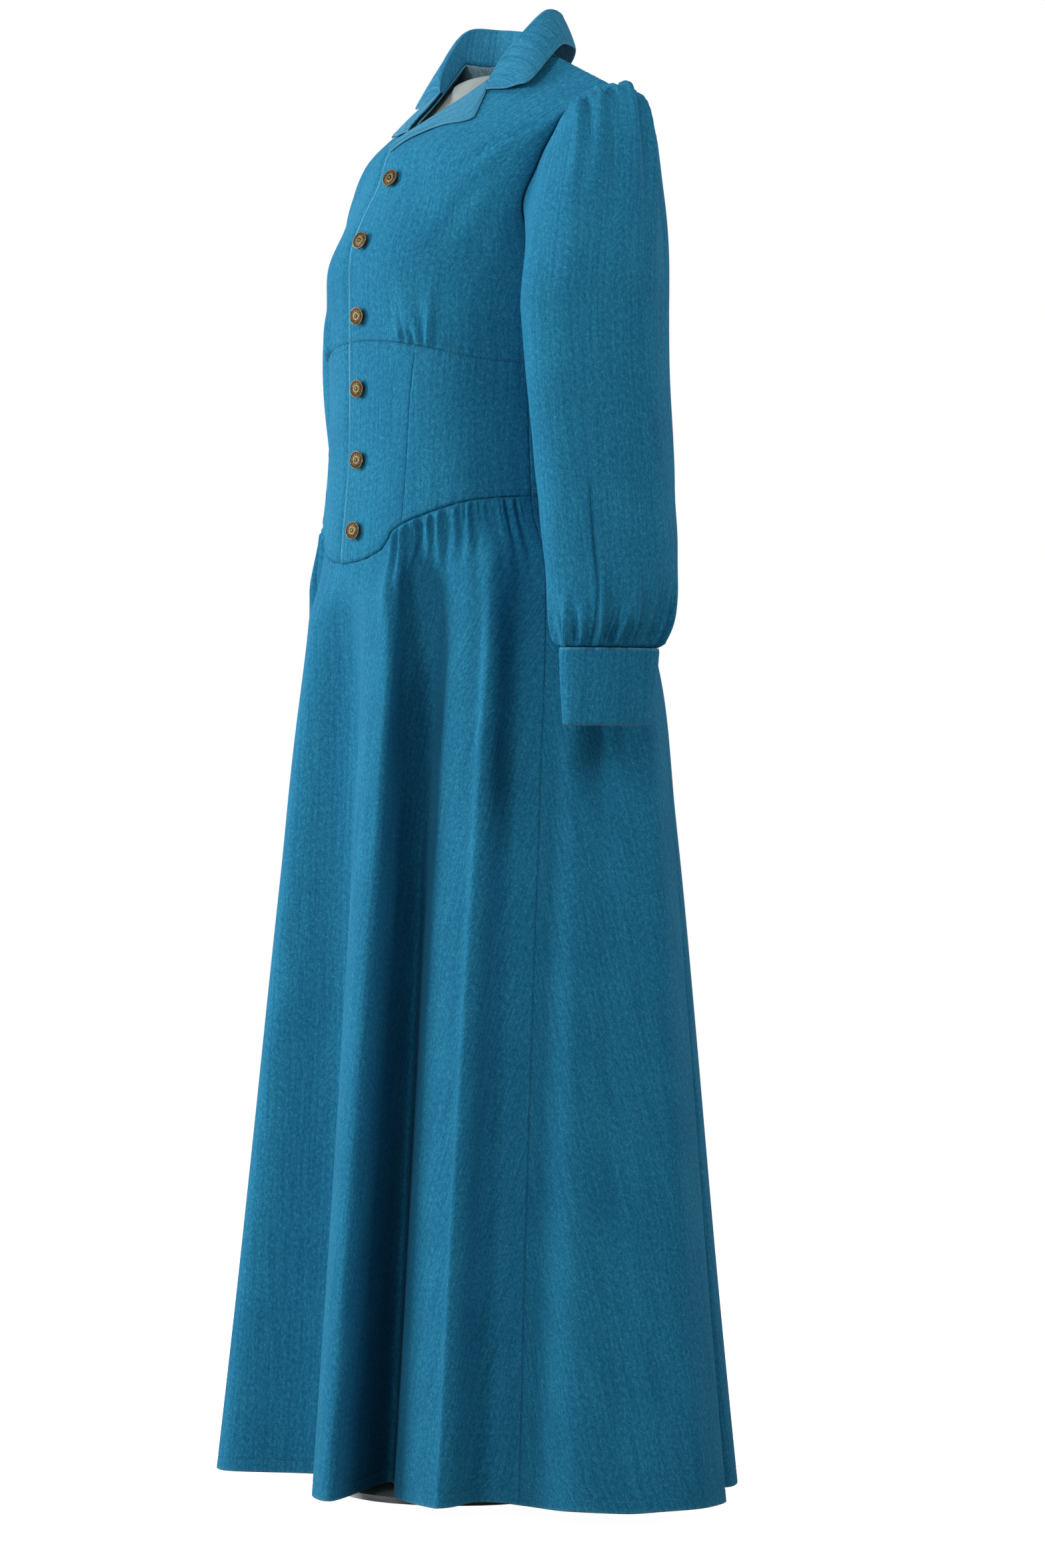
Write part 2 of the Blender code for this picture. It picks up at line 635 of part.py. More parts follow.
def skirt_point(degrees, down):
    """The skirt by place round the yoke seam and share of the way down to the hem."""
    degrees, down = np.broadcast_arrays(np.asarray(degrees, float), np.asarray(down, float))
    seam = body_point(degrees, yoke_height(degrees))
    height = seam[..., 2] + (HEM_HEIGHT - seam[..., 2]) * down
    swell = np.array(SWELL)[::-1]
    size, centre_y = np.moveaxis(interpolate(swell[:, 0], swell[:, 1:], height), -1, 0)
    angle = np.radians(degrees)
    smooth_hem = np.stack([HEM_HALF_WIDTH * np.sin(angle), -HEM_HALF_DEPTH * np.cos(angle)], -1)
    folded_hem = hem_outline(degrees) - np.array([0.0, SWELL[-1][2]])
    growth = np.array(FOLD_GROWTH)
    open_share = interpolate(growth[:, 0], growth[:, 1], down)[..., None]
    ring = size[..., None] * (smooth_hem + open_share * (folded_hem - smooth_hem))
    ring[..., 1] += centre_y
    release = ease(down / 0.07)[..., None]
    plan = seam[..., :2] + release * (ring - seam[..., :2])
    points = np.concatenate([plan, height[..., None]], -1)
    outward = np.stack([np.sin(angle), -np.cos(angle), 0 * angle], -1)
    gather = 0.5 - 0.5 * np.cos(angle * SKIRT_GATHERS)
    strength = ease(down / 0.015) * (1.0 - ease((down - 0.02) / 0.11))
    tab = ease((np.abs((degrees + 180.0) % 360.0 - 180.0) - 22.0) / 8.0)
    return points + (SKIRT_GATHER_DEPTH * gather * strength * tab)[..., None] * outward


def add_skirt():
    """Front and back skirt panels between the side seams."""
    down = np.array([0.0, 0.012, 0.03, 0.06, 0.11, 0.20, 0.33, 0.50, 0.67, 0.84, 1.0])[::-1, None]
    step = 180.0 / SKIRT_STEPS
    for name, start in (("skirt_front", -SIDE_SEAM_DEGREES), ("skirt_back", SIDE_SEAM_DEGREES)):
        degrees = start + step * np.arange(-1, SKIRT_STEPS + 2)[None, :]
        wide = skirt_point(degrees, down)
        normals = grid_normals(wide, False)
        seams = ((slice(None), 0, normals[:, 1]), (slice(None), -1, normals[:, -2]))
        grid = pull_in(wide[:, 1:-1], ("left", "right", "top"))
        rows = tuple(range(len(down)))
        add_piece(name, wall_mesh(name, grid, shared=seams, level=rows), cloth("denim_" + name))


def armhole_point(turn):
    """The armhole: turn 0 is the underarm, 0.5 the shoulder tip, in front until there."""
    reach = SHOULDER_ROW - UNDERARM_ROW
    front = UNDERARM_ROW + np.clip(turn / 0.5, 0.0, 1.0) * reach
    back = SHOULDER_ROW - np.clip((turn - 0.5) / 0.5, 0.0, 1.0) * reach
    side = np.full_like(turn, 90.0)
    in_front = (turn <= 0.5)[..., None]
    return np.where(in_front, bodice_front_point(side, front), bodice_back_point(side, back))


def sleeve_ring_point(turn, height):
    """A level ring of the sleeve, by turn and height."""
    rings = np.array(SLEEVE_RINGS)[::-1]
    section = interpolate(rings[:, 0], rings[:, 1:], height)
    centre_x, centre_y, half_x, half_y = np.moveaxis(section, -1, 0)
    angle = 2.0 * np.pi * turn
    return np.stack([
        centre_x - half_x * np.cos(angle), centre_y - half_y * np.sin(angle), height + 0 * turn,
    ], -1)


def sleeve_point(turn, down, swing):
    """A sleeve, as on the left; down runs 0 to 1 over the cap and 1 to 2 to the cuff."""
    turn, down = np.broadcast_arrays(np.asarray(turn, float), np.asarray(down, float))
    start = armhole_point(turn)
    middle = 0.5 * (armhole_point(np.array(0.0)) + armhole_point(np.array(0.5)))
    spoke = start - middle
    spoke[..., 0] = 0.0
    away = unit(np.array([1.0, 0.0, 0.0]) + CAP_FLARE * unit(spoke))
    start = start + 2.0 * SEAM_GAP * away
    top_height = SLEEVE_RINGS[0][0]
    hang = np.array([*swing, 0.0])
    end = sleeve_ring_point(turn, np.full_like(turn, top_height)) + SWING_AT_TOP * hang
    high = 0.5 - 0.5 * np.cos(2.0 * np.pi * turn)
    leave = (CAP_REACH * (0.13 + 0.87 * high))[..., None] * away
    arrive = (CAP_DROP * (0.15 + 0.85 * high))[..., None] * np.array([0.0, 0.0, -1.0])
    share = np.clip(down, 0.0, 1.0)[..., None]
    square, cube = share**2, share**3
    cap = (
        (2 * cube - 3 * square + 1) * start + (cube - 2 * square + share) * leave
        + (3 * square - 2 * cube) * end + (cube - square) * arrive
    )
    low_height = SLEEVE_RINGS[-1][0]
    height = top_height + (low_height - top_height) * np.clip(down - 1.0, 0.0, 1.0)
    swung = SWING_AT_TOP + (1.0 - SWING_AT_TOP) * ease((down - 1.0) / 0.6)
    arm = sleeve_ring_point(turn, height) + swung[..., None] * hang
    return np.where((down <= 1.0)[..., None], cap, arm)


def sleeve_gathers(turn, down):
    """Relief of the gathers in the cap and above the cuff."""
    waves = 0.5 - 0.5 * np.cos(2.0 * np.pi * turn * SLEEVE_COLUMNS_ROUND / 2)
    upper = ease((0.5 - 0.5 * np.cos(2.0 * np.pi * turn) - 0.45) / 0.3)
    cap = CAP_GATHER_DEPTH * upper * ease(down / 0.12) * (1.0 - ease((down - 0.15) / 0.5))
    cuff = CUFF_GATHER_DEPTH * ease((down - 1.6) / 0.3) * (1.0 - ease((down - 1.96) / 0.04))
    return waves * (cap + cuff)


def add_sleeves():
    """Both sleeves as open tubes, and their cuffs."""
    turn = (np.arange(SLEEVE_COLUMNS_ROUND) / SLEEVE_COLUMNS_ROUND)[None, :]
    down = np.array([0.0, 0.06, 0.16, 0.32, 0.54, 0.78, 1.0, 1.22, 1.45, 1.66, 1.82, 1.93, 2.0])
    down = down[::-1, None]
    share = np.linspace(0.0, 1.0, 3)[:, None]
    rings = np.array(CUFF_RINGS)
    section = rings[1] + (rings[0] - rings[1]) * share
    angle = 2.0 * np.pi * turn
    cuff = np.stack([
        section[:, 1:2] - section[:, 3:4] * np.cos(angle),
        section[:, 2:3] - section[:, 4:5] * np.sin(angle),
        section[:, :1] + 0 * angle,
    ], -1)
    for side, swing in SLEEVE_SWING.items():
        grid = sleeve_point(turn, down, swing)
        grid = grid + sleeve_gathers(turn, down)[..., None] * grid_normals(grid, True)
        band = cuff + np.array([*swing, 0.0])
        if side == "right":
            grid, band = mirrored(grid), mirrored(band)
        name = "sleeve_" + side
        add_piece(name, wall_mesh(name, grid, closed=True, level=(0,)), cloth("denim_" + name))
        name = "cuff_" + side
        mesh = wall_mesh(name, band, COLLAR_WALL, closed=True, level=(0, 1, 2))
        add_piece(name, mesh, cloth("denim_" + name))


def bodice_samples():
    """Points and outward directions over the whole bodice, for what lies on it."""
    up = np.linspace(4.6, SHOULDER_ROW, 90)[:, None]
    front_degrees, back_degrees = np.linspace(-8.0, 90.0, 90), np.linspace(90.0, 0.0, 90)
    front = bodice_front_point(front_degrees[None, :] + 0 * up, up + 0 * front_degrees)
    back = bodice_back_point(back_degrees[None, :] + 0 * up, up + 0 * back_degrees)
    points, normals = [], []
    for grid in (front, back):
        for half in (grid, mirrored(grid)):
            points.append(half.reshape(-1, 3))
            normals.append(grid_normals(half, False).reshape(-1, 3))
    return np.concatenate(points), np.concatenate(normals)


def laid_on(points, samples, lift, press=False):
    """The points lifted to at least the given height over the bodice, or to just that height."""
    surface, normals = samples
    flat = points.reshape(-1, 3)
    lift = np.broadcast_to(lift, points.shape[:-1]).reshape(-1)
    nearest = np.argmin(((flat[:, None] - surface[None]) ** 2).sum(-1), 1)
    base, direction = surface[nearest], normals[nearest]
    height = ((flat - base) * direction).sum(-1)
    move = lift - height
    if not press:
        move = np.maximum(move, 0.0)
    return (flat + move[:, None] * direction).reshape(points.shape)


def add_collar(samples):
    """The collar: a stand from the neck seam to the fold line and a fall outside it."""
    half = np.array(COLLAR_STATIONS)
    other = half[-2::-1] * np.array([-1.0, 1.0, 1.0] * 3)
    stations = np.concatenate([half, other])
    along = np.linspace(0.0, len(stations) - 1.0, 27)
    marks = interpolate(np.arange(len(stations)), stations, along).reshape(-1, 3, 3)
    seam, fold, edge = marks[:, 0], marks[:, 1], marks[:, 2]
    outward = unit(np.stack([edge[:, 0] - seam[:, 0], edge[:, 1] - seam[:, 1], 0 * along], -1))
    rise = np.array([0.0, 0.0, 1.0])
    fall = fold + COLLAR_ROLL * outward - 0.0014 * rise
    rows = [
        seam, seam + (fold - seam) * 0.35, fold - 0.0008 * rise, fold + 0.5 * COLLAR_ROLL * outward,
        fall, fall + (edge - fall) * 0.5 + 0.001 * outward, edge,
    ]
    grid = np.stack(rows[::-1])
    grid[:2] = laid_on(grid[:2], samples, COLLAR_WALL + COLLAR_REST)
    add_piece("collar", wall_mesh("collar", grid, COLLAR_WALL), cloth("denim_collar"))


def add_lapels(samples):
    """The turned-back lapels, each lying on its front."""
    table = np.array(LAPEL_STATIONS)
    for side, first in LAPEL_STARTS.items():
        along = np.linspace(first, 1.0, 9)
        outer = interpolate(table[:, 0], table[:, 1:], along)
        up = (LAPEL_BREAK + (LAPEL_TOP - LAPEL_BREAK) * along)[:, None]
        roll = bodice_front_point(front_edge_degrees(up), up)[:, 0]
        if first > 0.0:
            outer[0] = roll[0] + 0.2 * (outer[0] - roll[0])
        across = np.linspace(0.0, 1.0, 5)[None, :, None]
        grid = roll[:, None] + (outer - roll)[:, None] * across
        lift = LAPEL_WALL + LAPEL_REST + LAPEL_ROLL * (1.0 - across[..., 0]) ** 2
        grid = laid_on(grid, samples, lift, press=True)
        name = "lapel_" + side
        grid = grid if side == "left" else mirrored(grid)
        add_piece(name, wall_mesh(name, grid, LAPEL_WALL), cloth("denim_" + name))


def front_at(x, height):
    """Point and outward direction of the front at a distance from the centre and a height."""
    def place(across, level):
        if level < FRONT_ROWS[0][1]:
            degrees = degrees_at(np.array(across), BODY[3][1], BODY[3][5])
            return body_point(degrees, np.array(level))
        ups = np.linspace(0.0, 5.0, 201)
        degrees = degrees_at(np.full_like(ups, across), FRONT_ROWS[2][2], FRONT_ROWS[2][5])
        points = bodice_front_point(degrees, ups)
        return points[np.argmin(np.abs(points[:, 2] - level))]
    point = place(x, height)
    across = place(x + 0.004, height) - place(x - 0.004, height)
    rise = place(x, height + 0.006) - place(x, height - 0.006)
    return point, unit(np.cross(across, rise))


def button_mesh(name):
    """A domed button with a raised rim and a shank, turned about +Z."""
    radius = BUTTON_DIAMETER / 2
    profile = (
        (0.0, 0.0009), (0.0022, 0.0009), (0.0022, 0.0036), (radius * 0.94, 0.0044),
        (radius, 0.0052), (radius * 0.97, 0.0062), (radius * 0.82, 0.0060), (0.0, 0.0074),
    )
    builder = bmesh.new()
    corners = [builder.verts.new((x, 0.0, z)) for x, z in profile]
    edges = [builder.edges.new(pair) for pair in zip(corners, corners[1:])]
    bmesh.ops.spin(builder, geom=corners + edges, cent=(0, 0, 0), axis=(0, 0, 1),
                   angle=2 * math.pi, steps=12, use_merge=True, use_duplicate=False)
    bmesh.ops.remove_doubles(builder, verts=builder.verts, dist=1e-6)
    bmesh.ops.recalc_face_normals(builder, faces=builder.faces)
    mesh = bpy.data.meshes.new(name)
    builder.to_mesh(mesh)
    builder.free()
    mesh.shade_smooth()
    mesh.set_sharp_from_angle(angle=math.radians(35))
    return mesh


def add_buttons():
    """Six buttons down the left front's edge, each tilted on its shank."""
    for number, (height, across) in enumerate(BUTTONS, 1):
        name = "button_%d" % number
        point, outward = front_at(across, height)
        piece = add_piece(name, button_mesh(name),
                          surface_material("brass_%d" % number, (0.30, 0.20, 0.09), 0.40, 1.0))
        up = np.array([0.0, 0.0, 1.0])
        side = unit(np.cross(up, outward))
        outward = outward * math.cos(BUTTON_TILT) + side * math.sin(BUTTON_TILT)
        side = unit(np.cross(up, outward))
        turned = np.stack([side, np.cross(outward, side), outward], 1)
        piece.rotation_mode = "QUATERNION"
        piece.rotation_quaternion = Matrix(turned.tolist()).to_quaternion()
        piece.location = point


def form_rings():
    """Rings of the torso, inset from the cloth: seated at the shoulders and clear elsewhere."""
    degrees = np.linspace(0.0, 90.0, 9)
    front, back, insets, open_side = [], [], [], []
    for share in (0.0, 0.3, 0.65):
        height = FORM_BOTTOM + (underbust_height(degrees) - FORM_BOTTOM) * share
        front.append(body_point(degrees, height))
        height = FORM_BOTTOM + (underbust_height(180.0 - degrees) - FORM_BOTTOM) * share
        back.append(body_point(180.0 - degrees, height))
        insets.append(FORM_CLEARANCE * (2.0 - share))
        open_side.append(False)
    for up in (0.0, 1.0, 2.0, 3.0, 3.8, 4.6, 5.4, 6.2, 6.9, 7.4, 7.8, 8.0):
        place = np.full_like(degrees, up)
        front.append(bodice_front_point(degrees, place))
        back.append(bodice_back_point(degrees, place))
        seated = float(ease((up - 7.4) / 0.6))
        insets.append(FORM_CLEARANCE + (FORM_SEAT_GAP - FORM_CLEARANCE) * seated)
        open_side.append(up > UNDERARM_ROW)
    inset = np.array(insets)[:, None, None] + WALL
    closed_side = ~np.array(open_side)
    halves = []
    for panel in (np.array(front), np.array(back)[:, ::-1]):
        normals = grid_normals(panel, False)
        normals[0, :, 2] = 0.0
        side = int(np.argmax(np.abs(panel[0, :, 0])))
        normals[closed_side, side] = (1.0, 0.0, 0.0)
        normals[:, panel.shape[1] - 1 - side, 0] = 0.0
        seam = panel[-1, :, 0] >= NECK_HALF_WIDTH - 0.001
        normals[-1, seam] = (0.35, 0.0, 1.0)
        halves.append(panel - inset * unit(normals))
    front, back = halves
    cap_share = np.linspace(0.0, 1.0, 5)[None, 1:-1, None]
    cap = front[:, -1:] + (back[:, :1] - front[:, -1:]) * cap_share
    left = np.concatenate([front, cap, back], 1)
    return np.concatenate([left, left[:, -2:0:-1] * np.array([-1.0, 1.0, 1.0])], 1)


def add_form():
    """The limbless torso with its low neck, the pole and the round base."""
    grid = form_rings()
    limit = FORM_TOP - 0.25 * grid[..., 0] ** 2 - 0.5 * (grid[..., 1] - FORM_CENTRE_Y) ** 2
    soft = 0.002
    grid[..., 2] = limit - soft * np.log1p(np.exp((limit - grid[..., 2]) / soft))
    rows, columns = grid.shape[:2]
    faces = []
    for row in range(rows - 1):
        for column in range(columns):
            after = (column + 1) % columns
            faces.append((row * columns + column, row * columns + after,
                          (row + 1) * columns + after, (row + 1) * columns + column))
    mesh = bpy.data.meshes.new("form_torso")
    mesh.from_pydata(grid.reshape(-1, 3).tolist(), [], faces)
    builder = bmesh.new()
    builder.from_mesh(mesh)
    bmesh.ops.remove_doubles(builder, verts=builder.verts, dist=2e-4)
    bmesh.ops.holes_fill(builder, edges=builder.edges, sides=0)
    bmesh.ops.recalc_face_normals(builder, faces=builder.faces)
    builder.to_mesh(mesh)
    builder.free()
    mesh.shade_smooth()
    add_piece("form_torso", mesh, surface_material("form_skin", (0.20, 0.26, 0.26), 0.45))
    for name, radius, low, high in (
        ("form_pole", POLE_RADIUS, BASE_THICKNESS + SEAM_GAP, FORM_BOTTOM - SEAM_GAP),
        ("form_base", BASE_RADIUS, 0.0, BASE_THICKNESS),
    ):
        builder = bmesh.new()
        bmesh.ops.create_cone(builder, cap_ends=True, segments=40 if name == "form_base" else 16,
                              radius1=radius, radius2=radius, depth=high - low)
        bmesh.ops.translate(builder, verts=builder.verts, vec=(0.0, 0.0, (low + high) / 2))
        mesh = bpy.data.meshes.new(name)
        builder.to_mesh(mesh)
        builder.free()
        mesh.shade_smooth()
        mesh.set_sharp_from_angle(angle=math.radians(40))
        add_piece(name, mesh, surface_material(name, (0.62, 0.63, 0.63), 0.35, 0.2))


def clear_scene():
    """An empty scene."""
    for thing in list(bpy.data.objects):
        bpy.data.objects.remove(thing, do_unlink=True)


clear_scene()
add_bodice()
add_midriff()
add_skirt()
add_sleeves()
on_bodice = bodice_samples()
add_collar(on_bodice)
add_lapels(on_bodice)
add_buttons()
add_form()
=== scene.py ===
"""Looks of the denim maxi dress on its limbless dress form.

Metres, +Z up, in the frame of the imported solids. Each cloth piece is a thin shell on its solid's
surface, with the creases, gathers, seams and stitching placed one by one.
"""

import math

import bpy
import numpy as np
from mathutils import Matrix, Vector
from mathutils.kdtree import KDTree


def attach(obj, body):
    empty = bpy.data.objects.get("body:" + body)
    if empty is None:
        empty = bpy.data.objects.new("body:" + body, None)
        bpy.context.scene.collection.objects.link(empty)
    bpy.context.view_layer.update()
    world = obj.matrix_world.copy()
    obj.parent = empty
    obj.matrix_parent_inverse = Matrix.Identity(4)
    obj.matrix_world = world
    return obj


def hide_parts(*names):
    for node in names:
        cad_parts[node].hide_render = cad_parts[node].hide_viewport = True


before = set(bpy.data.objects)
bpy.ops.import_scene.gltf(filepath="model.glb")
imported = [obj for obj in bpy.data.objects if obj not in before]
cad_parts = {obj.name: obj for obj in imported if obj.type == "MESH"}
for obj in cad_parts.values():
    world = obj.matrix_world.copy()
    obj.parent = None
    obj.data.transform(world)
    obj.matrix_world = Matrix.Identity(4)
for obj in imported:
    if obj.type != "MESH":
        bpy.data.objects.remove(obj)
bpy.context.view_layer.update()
ROOT = "root"

# Driving sizes
WALL = 0.0016
SEAM_GAP = 0.0003
HEM_HEIGHT = 0.015
NECK_HALF_WIDTH = 0.072
NECK_SIDE = (0.072, 0.050, 1.438)
SHOULDER_TIP = (0.187, 0.072, 1.385)
BACK_NECK = (0.080, 1.430)
FRONT_NECK = (0.006, 1.398)
PLACKET_EDGE = -0.010
UNDERLAP_EDGE = 0.018
UNDERLAP_STEP = WALL + 0.0008
BREAK_STEP = 0.0012
BREAK_HEIGHT = 1.305
CUFF_TOP = 0.835
CUFF_BOTTOM = 0.761
BUTTON_DIAMETER = 0.018
BUTTON_TILT = math.radians(14.0)

# Buttons from the top: height and distance from the centre front
BUTTONS = (
    (1.302, 0.018),
    (1.239, 0.014),
    (1.166, 0.014),
    (1.0945, 0.014),
    (1.024, 0.015),
    (0.954, 0.017),
)

FORM_CLEARANCE = 0.005
FORM_SEAT_GAP = 0.0005
FORM_BOTTOM = 0.935
FORM_TOP = 1.413
FORM_CENTRE_Y = 0.030

# Body sections from the yoke seam to the underbust seam: height, half width, depth of the front,
# back and side, squareness
BODY = (
    (0.900, 0.166, -0.129, 0.118, -0.004, 2.10),
    (0.955, 0.160, -0.125, 0.112, -0.005, 2.10),
    (1.020, 0.153, -0.119, 0.105, -0.005, 2.10),
    (1.080, 0.150, -0.118, 0.102, -0.005, 2.10),
    (1.115, 0.150, -0.118, 0.103, -0.005, 2.12),
    (1.150, 0.151, -0.118, 0.105, -0.004, 2.15),
)

# Front rows of the bodice: centre line, then the side seam and, from row 3, the armhole,
# squareness and the front edge
FRONT_ROWS = (
    (-0.1180, 1.142, 0.1500, -0.0050, 1.115, 2.12, PLACKET_EDGE),
    (-0.1180, 1.188, 0.1510, -0.0010, 1.145, 2.12, PLACKET_EDGE),
    (-0.1160, 1.232, 0.1510, 0.0080, 1.175, 2.12, PLACKET_EDGE),
    (-0.1020, 1.268, 0.1500, 0.0200, 1.205, 2.15, PLACKET_EDGE),
    (-0.0850, 1.300, 0.1500, -0.0110, 1.262, 2.20, PLACKET_EDGE),
    (-0.0720, 1.334, 0.1500, 0.0050, 1.308, 2.10, PLACKET_EDGE),
    (-0.0420, 1.361, 0.1560, 0.0180, 1.338, 2.00, 0.014),
    (-0.0080, 1.386, 0.1710, 0.0310, 1.366, 2.00, 0.042),
    (0.0060, 1.398, 0.1870, 0.0720, 1.385, 2.00, NECK_HALF_WIDTH),
)

# Back rows of the bodice, with the same side seam and the back of the armhole
BACK_ROWS = (
    (0.1035, 1.116, 0.1500, -0.0050, 1.115, 2.12),
    (0.1060, 1.148, 0.1510, -0.0010, 1.145, 2.20),
    (0.1090, 1.180, 0.1510, 0.0080, 1.175, 2.30),
    (0.1130, 1.215, 0.1500, 0.0200, 1.205, 2.40),
    (0.1170, 1.262, 0.1550, 0.0750, 1.235, 2.50),
    (0.1180, 1.310, 0.1620, 0.1010, 1.280, 2.50),
    (0.1140, 1.350, 0.1700, 0.1060, 1.325, 2.50),
    (0.1020, 1.392, 0.1800, 0.0980, 1.362, 2.30),
    (0.0800, 1.430, 0.1870, 0.0720, 1.385, 2.00),
)
UNDERARM_ROW = 3
SHOULDER_ROW = 8

# Bust fullness on each front
BUST_RISE = 0.006
BUST_X = 0.078
BUST_Z = 1.225
BUST_SPREAD = 0.045

# Yoke seam: distance from the centre and height, in front
YOKE_SEAM = (
    (0.000, 0.9225),
    (0.045, 0.9300),
    (0.060, 0.9380),
    (0.070, 0.9520),
    (0.080, 0.9580),
    (0.110, 0.9700),
    (0.140, 0.9810),
    (0.158, 0.9850),
)
YOKE_BACK_CENTRE = 0.978

# Princess seam: share of the way up the midriff and degrees from the centre front
PRINCESS_SEAM = (
    (0.00, 30.0),
    (0.40, 31.2),
    (0.72, 33.0),
    (1.00, 35.6),
)

# Skirt swell: height, size against the hem, centre of the ring behind the waist
SWELL = (
    (0.985, 0.610, 0.000),
    (0.930, 0.680, 0.010),
    (0.836, 0.735, 0.022),
    (0.675, 0.785, 0.024),
    (0.462, 0.846, 0.023),
    (0.249, 0.908, 0.021),
    (0.015, 0.985, 0.019),
)
HEM_HALF_WIDTH = 0.275
HEM_HALF_DEPTH = 0.215

# How far the folds have opened: share of the way down the skirt, share of the hem's depth
FOLD_GROWTH = (
    (0.00, 0.00),
    (0.06, 0.25),
    (0.15, 0.48),
    (0.35, 0.68),
    (0.65, 0.86),
    (1.00, 1.00),
)

# Skirt folds at the hem, from the front centre round the wearer's left side. The first three
# columns are places round the yoke seam in degrees, the others points of the hem in metres.
FOLD_COLUMNS = (
    "ridge_start", "ridge_end", "valley",
    "start_x", "start_y", "end_x", "end_y", "valley_x", "valley_y",
)
FOLDS = (
    (16, 28, 44, 0.060, -0.200, 0.110, -0.203, 0.022, -0.090),
    (56, 67, 82, 0.112, -0.132, 0.199, -0.143, 0.188, -0.078),
    (101, 112, 119, 0.288, -0.034, 0.330, 0.008, 0.332, 0.042),
    (126, 134, 146, 0.331, 0.084, 0.302, 0.132, 0.212, 0.132),
    (156, 166, 178, 0.218, 0.192, 0.150, 0.230, 0.105, 0.150),
    (190, 200, 212, 0.082, 0.242, 0.020, 0.262, -0.005, 0.165),
    (222, 234, 246, -0.066, 0.248, -0.130, 0.228, -0.105, 0.140),
    (258, 270, 280, -0.192, 0.198, -0.245, 0.142, -0.175, 0.080),
    (290, 300, 311, -0.283, 0.062, -0.292, -0.002, -0.205, -0.022),
    (319, 326, 333, -0.262, -0.078, -0.240, -0.118, -0.165, -0.088),
    (341, 349, 362, -0.188, -0.168, -0.144, -0.197, -0.050, -0.118),
)
SIDE_SEAM_DEGREES = 90.0

# Sleeve rings: height, centre, half sizes
SLEEVE_RINGS = (
    (1.165, 0.2160, 0.0310, 0.0540, 0.0775),
    (1.100, 0.2260, 0.0285, 0.0520, 0.0752),
    (1.037, 0.2350, 0.0285, 0.0505, 0.0737),
    (0.985, 0.2420, 0.0280, 0.0505, 0.0725),
    (0.934, 0.2500, 0.0275, 0.0500, 0.0713),
    (0.884, 0.2570, 0.0262, 0.0455, 0.0655),
    (0.858, 0.2600, 0.0235, 0.0370, 0.0600),
    (0.8353, 0.2620, 0.0195, 0.0220, 0.0530),
)
SLEEVE_SWING = {"left": (0.0, 0.0), "right": (-0.004, 0.034)}
SWING_AT_TOP = 0.45
CAP_REACH = 0.15
CAP_FLARE = 0.45
CAP_DROP = 0.22

# Cuff rings: height, centre, half sizes
CUFF_RINGS = (
    (CUFF_TOP, 0.2620, 0.0195, 0.0235, 0.0545),
    (CUFF_BOTTOM, 0.2630, 0.0150, 0.0205, 0.0465),
)

# Collar stations from the left gorge to the back centre: neck seam, fold line, outer edge
COLLAR_STATIONS = (
    (0.0500, 0.0060, 1.4020, 0.0490, 0.0072, 1.4085, 0.0620, 0.0010, 1.3900),
    (0.0580, 0.0150, 1.4130, 0.0590, 0.0160, 1.4240, 0.1000, 0.0080, 1.3930),
    (0.0660, 0.0300, 1.4280, 0.0690, 0.0330, 1.4480, 0.1150, 0.0190, 1.3990),
    (0.0680, 0.0480, 1.4420, 0.0745, 0.0560, 1.4720, 0.1020, 0.0590, 1.4340),
    (0.0450, 0.0700, 1.4400, 0.0530, 0.0830, 1.4710, 0.0660, 0.0990, 1.4370),
    (0.0000, 0.0810, 1.4360, 0.0000, 0.0930, 1.4640, 0.0000, 0.1180, 1.4240),
)
COLLAR_ROLL = 0.0078
LAPEL_BREAK = 5.06
LAPEL_STARTS = {"left": 0.0, "right": 0.34}

# Lapel stations from the break to the notch: roll line (share of the neck edge) and outer edge
LAPEL_STATIONS = (
    (0.00, -0.0060, -0.0740, 1.3330),
    (0.22, 0.0130, -0.0630, 1.3440),
    (0.50, 0.0400, -0.0500, 1.3520),
    (0.78, 0.0780, -0.0330, 1.3590),
    (1.00, 0.0600, -0.0010, 1.3830),
)


def interpolate(keys, values, at, period=None):
    """A smooth curve through the values at the keys, read at the given places."""
    keys = np.asarray(keys, float)
    values = np.asarray(values, float)
    at = np.asarray(at, float)
    if period:
        keys = np.concatenate([keys[-3:] - period, keys, keys[:3] + period])
        values = np.concatenate([values[-3:], values, values[:3]])
        at = (at - keys[3]) % period + keys[3]
    slopes = np.gradient(values, keys, axis=0)
    left = np.clip(np.searchsorted(keys, at, "right") - 1, 0, len(keys) - 2)
    step = keys[left + 1] - keys[left]
    share = np.clip((at - keys[left]) / step, 0.0, 1.0)
    if values.ndim == 2:
        share = share[..., None]
        step = step[..., None]
    square, cube = share**2, share**3
    return (
        (2 * cube - 3 * square + 1) * values[left]
        + (cube - 2 * square + share) * step * slopes[left]
        + (3 * square - 2 * cube) * values[left + 1]
        + (cube - square) * step * slopes[left + 1]
    )


def ease(share):
    """A share from 0 to 1 with soft ends."""
    share = np.clip(share, 0.0, 1.0)
    return share * share * (3.0 - 2.0 * share)


def bell(apart):
    """A soft bump, 1 at 0 and nearly gone at 2 on either side."""
    return np.exp(-(apart**2))


def unit(vectors):
    """The vectors at length 1."""
    return vectors / np.maximum(np.linalg.norm(vectors, axis=-1, keepdims=True), 1e-12)


def arc_x(degrees, half_width, squareness):
    """Distance from the centre plane on a squarish oval section."""
    sine = np.sin(np.radians(degrees))
    return half_width * np.sign(sine) * np.abs(sine) ** (2.0 / squareness)


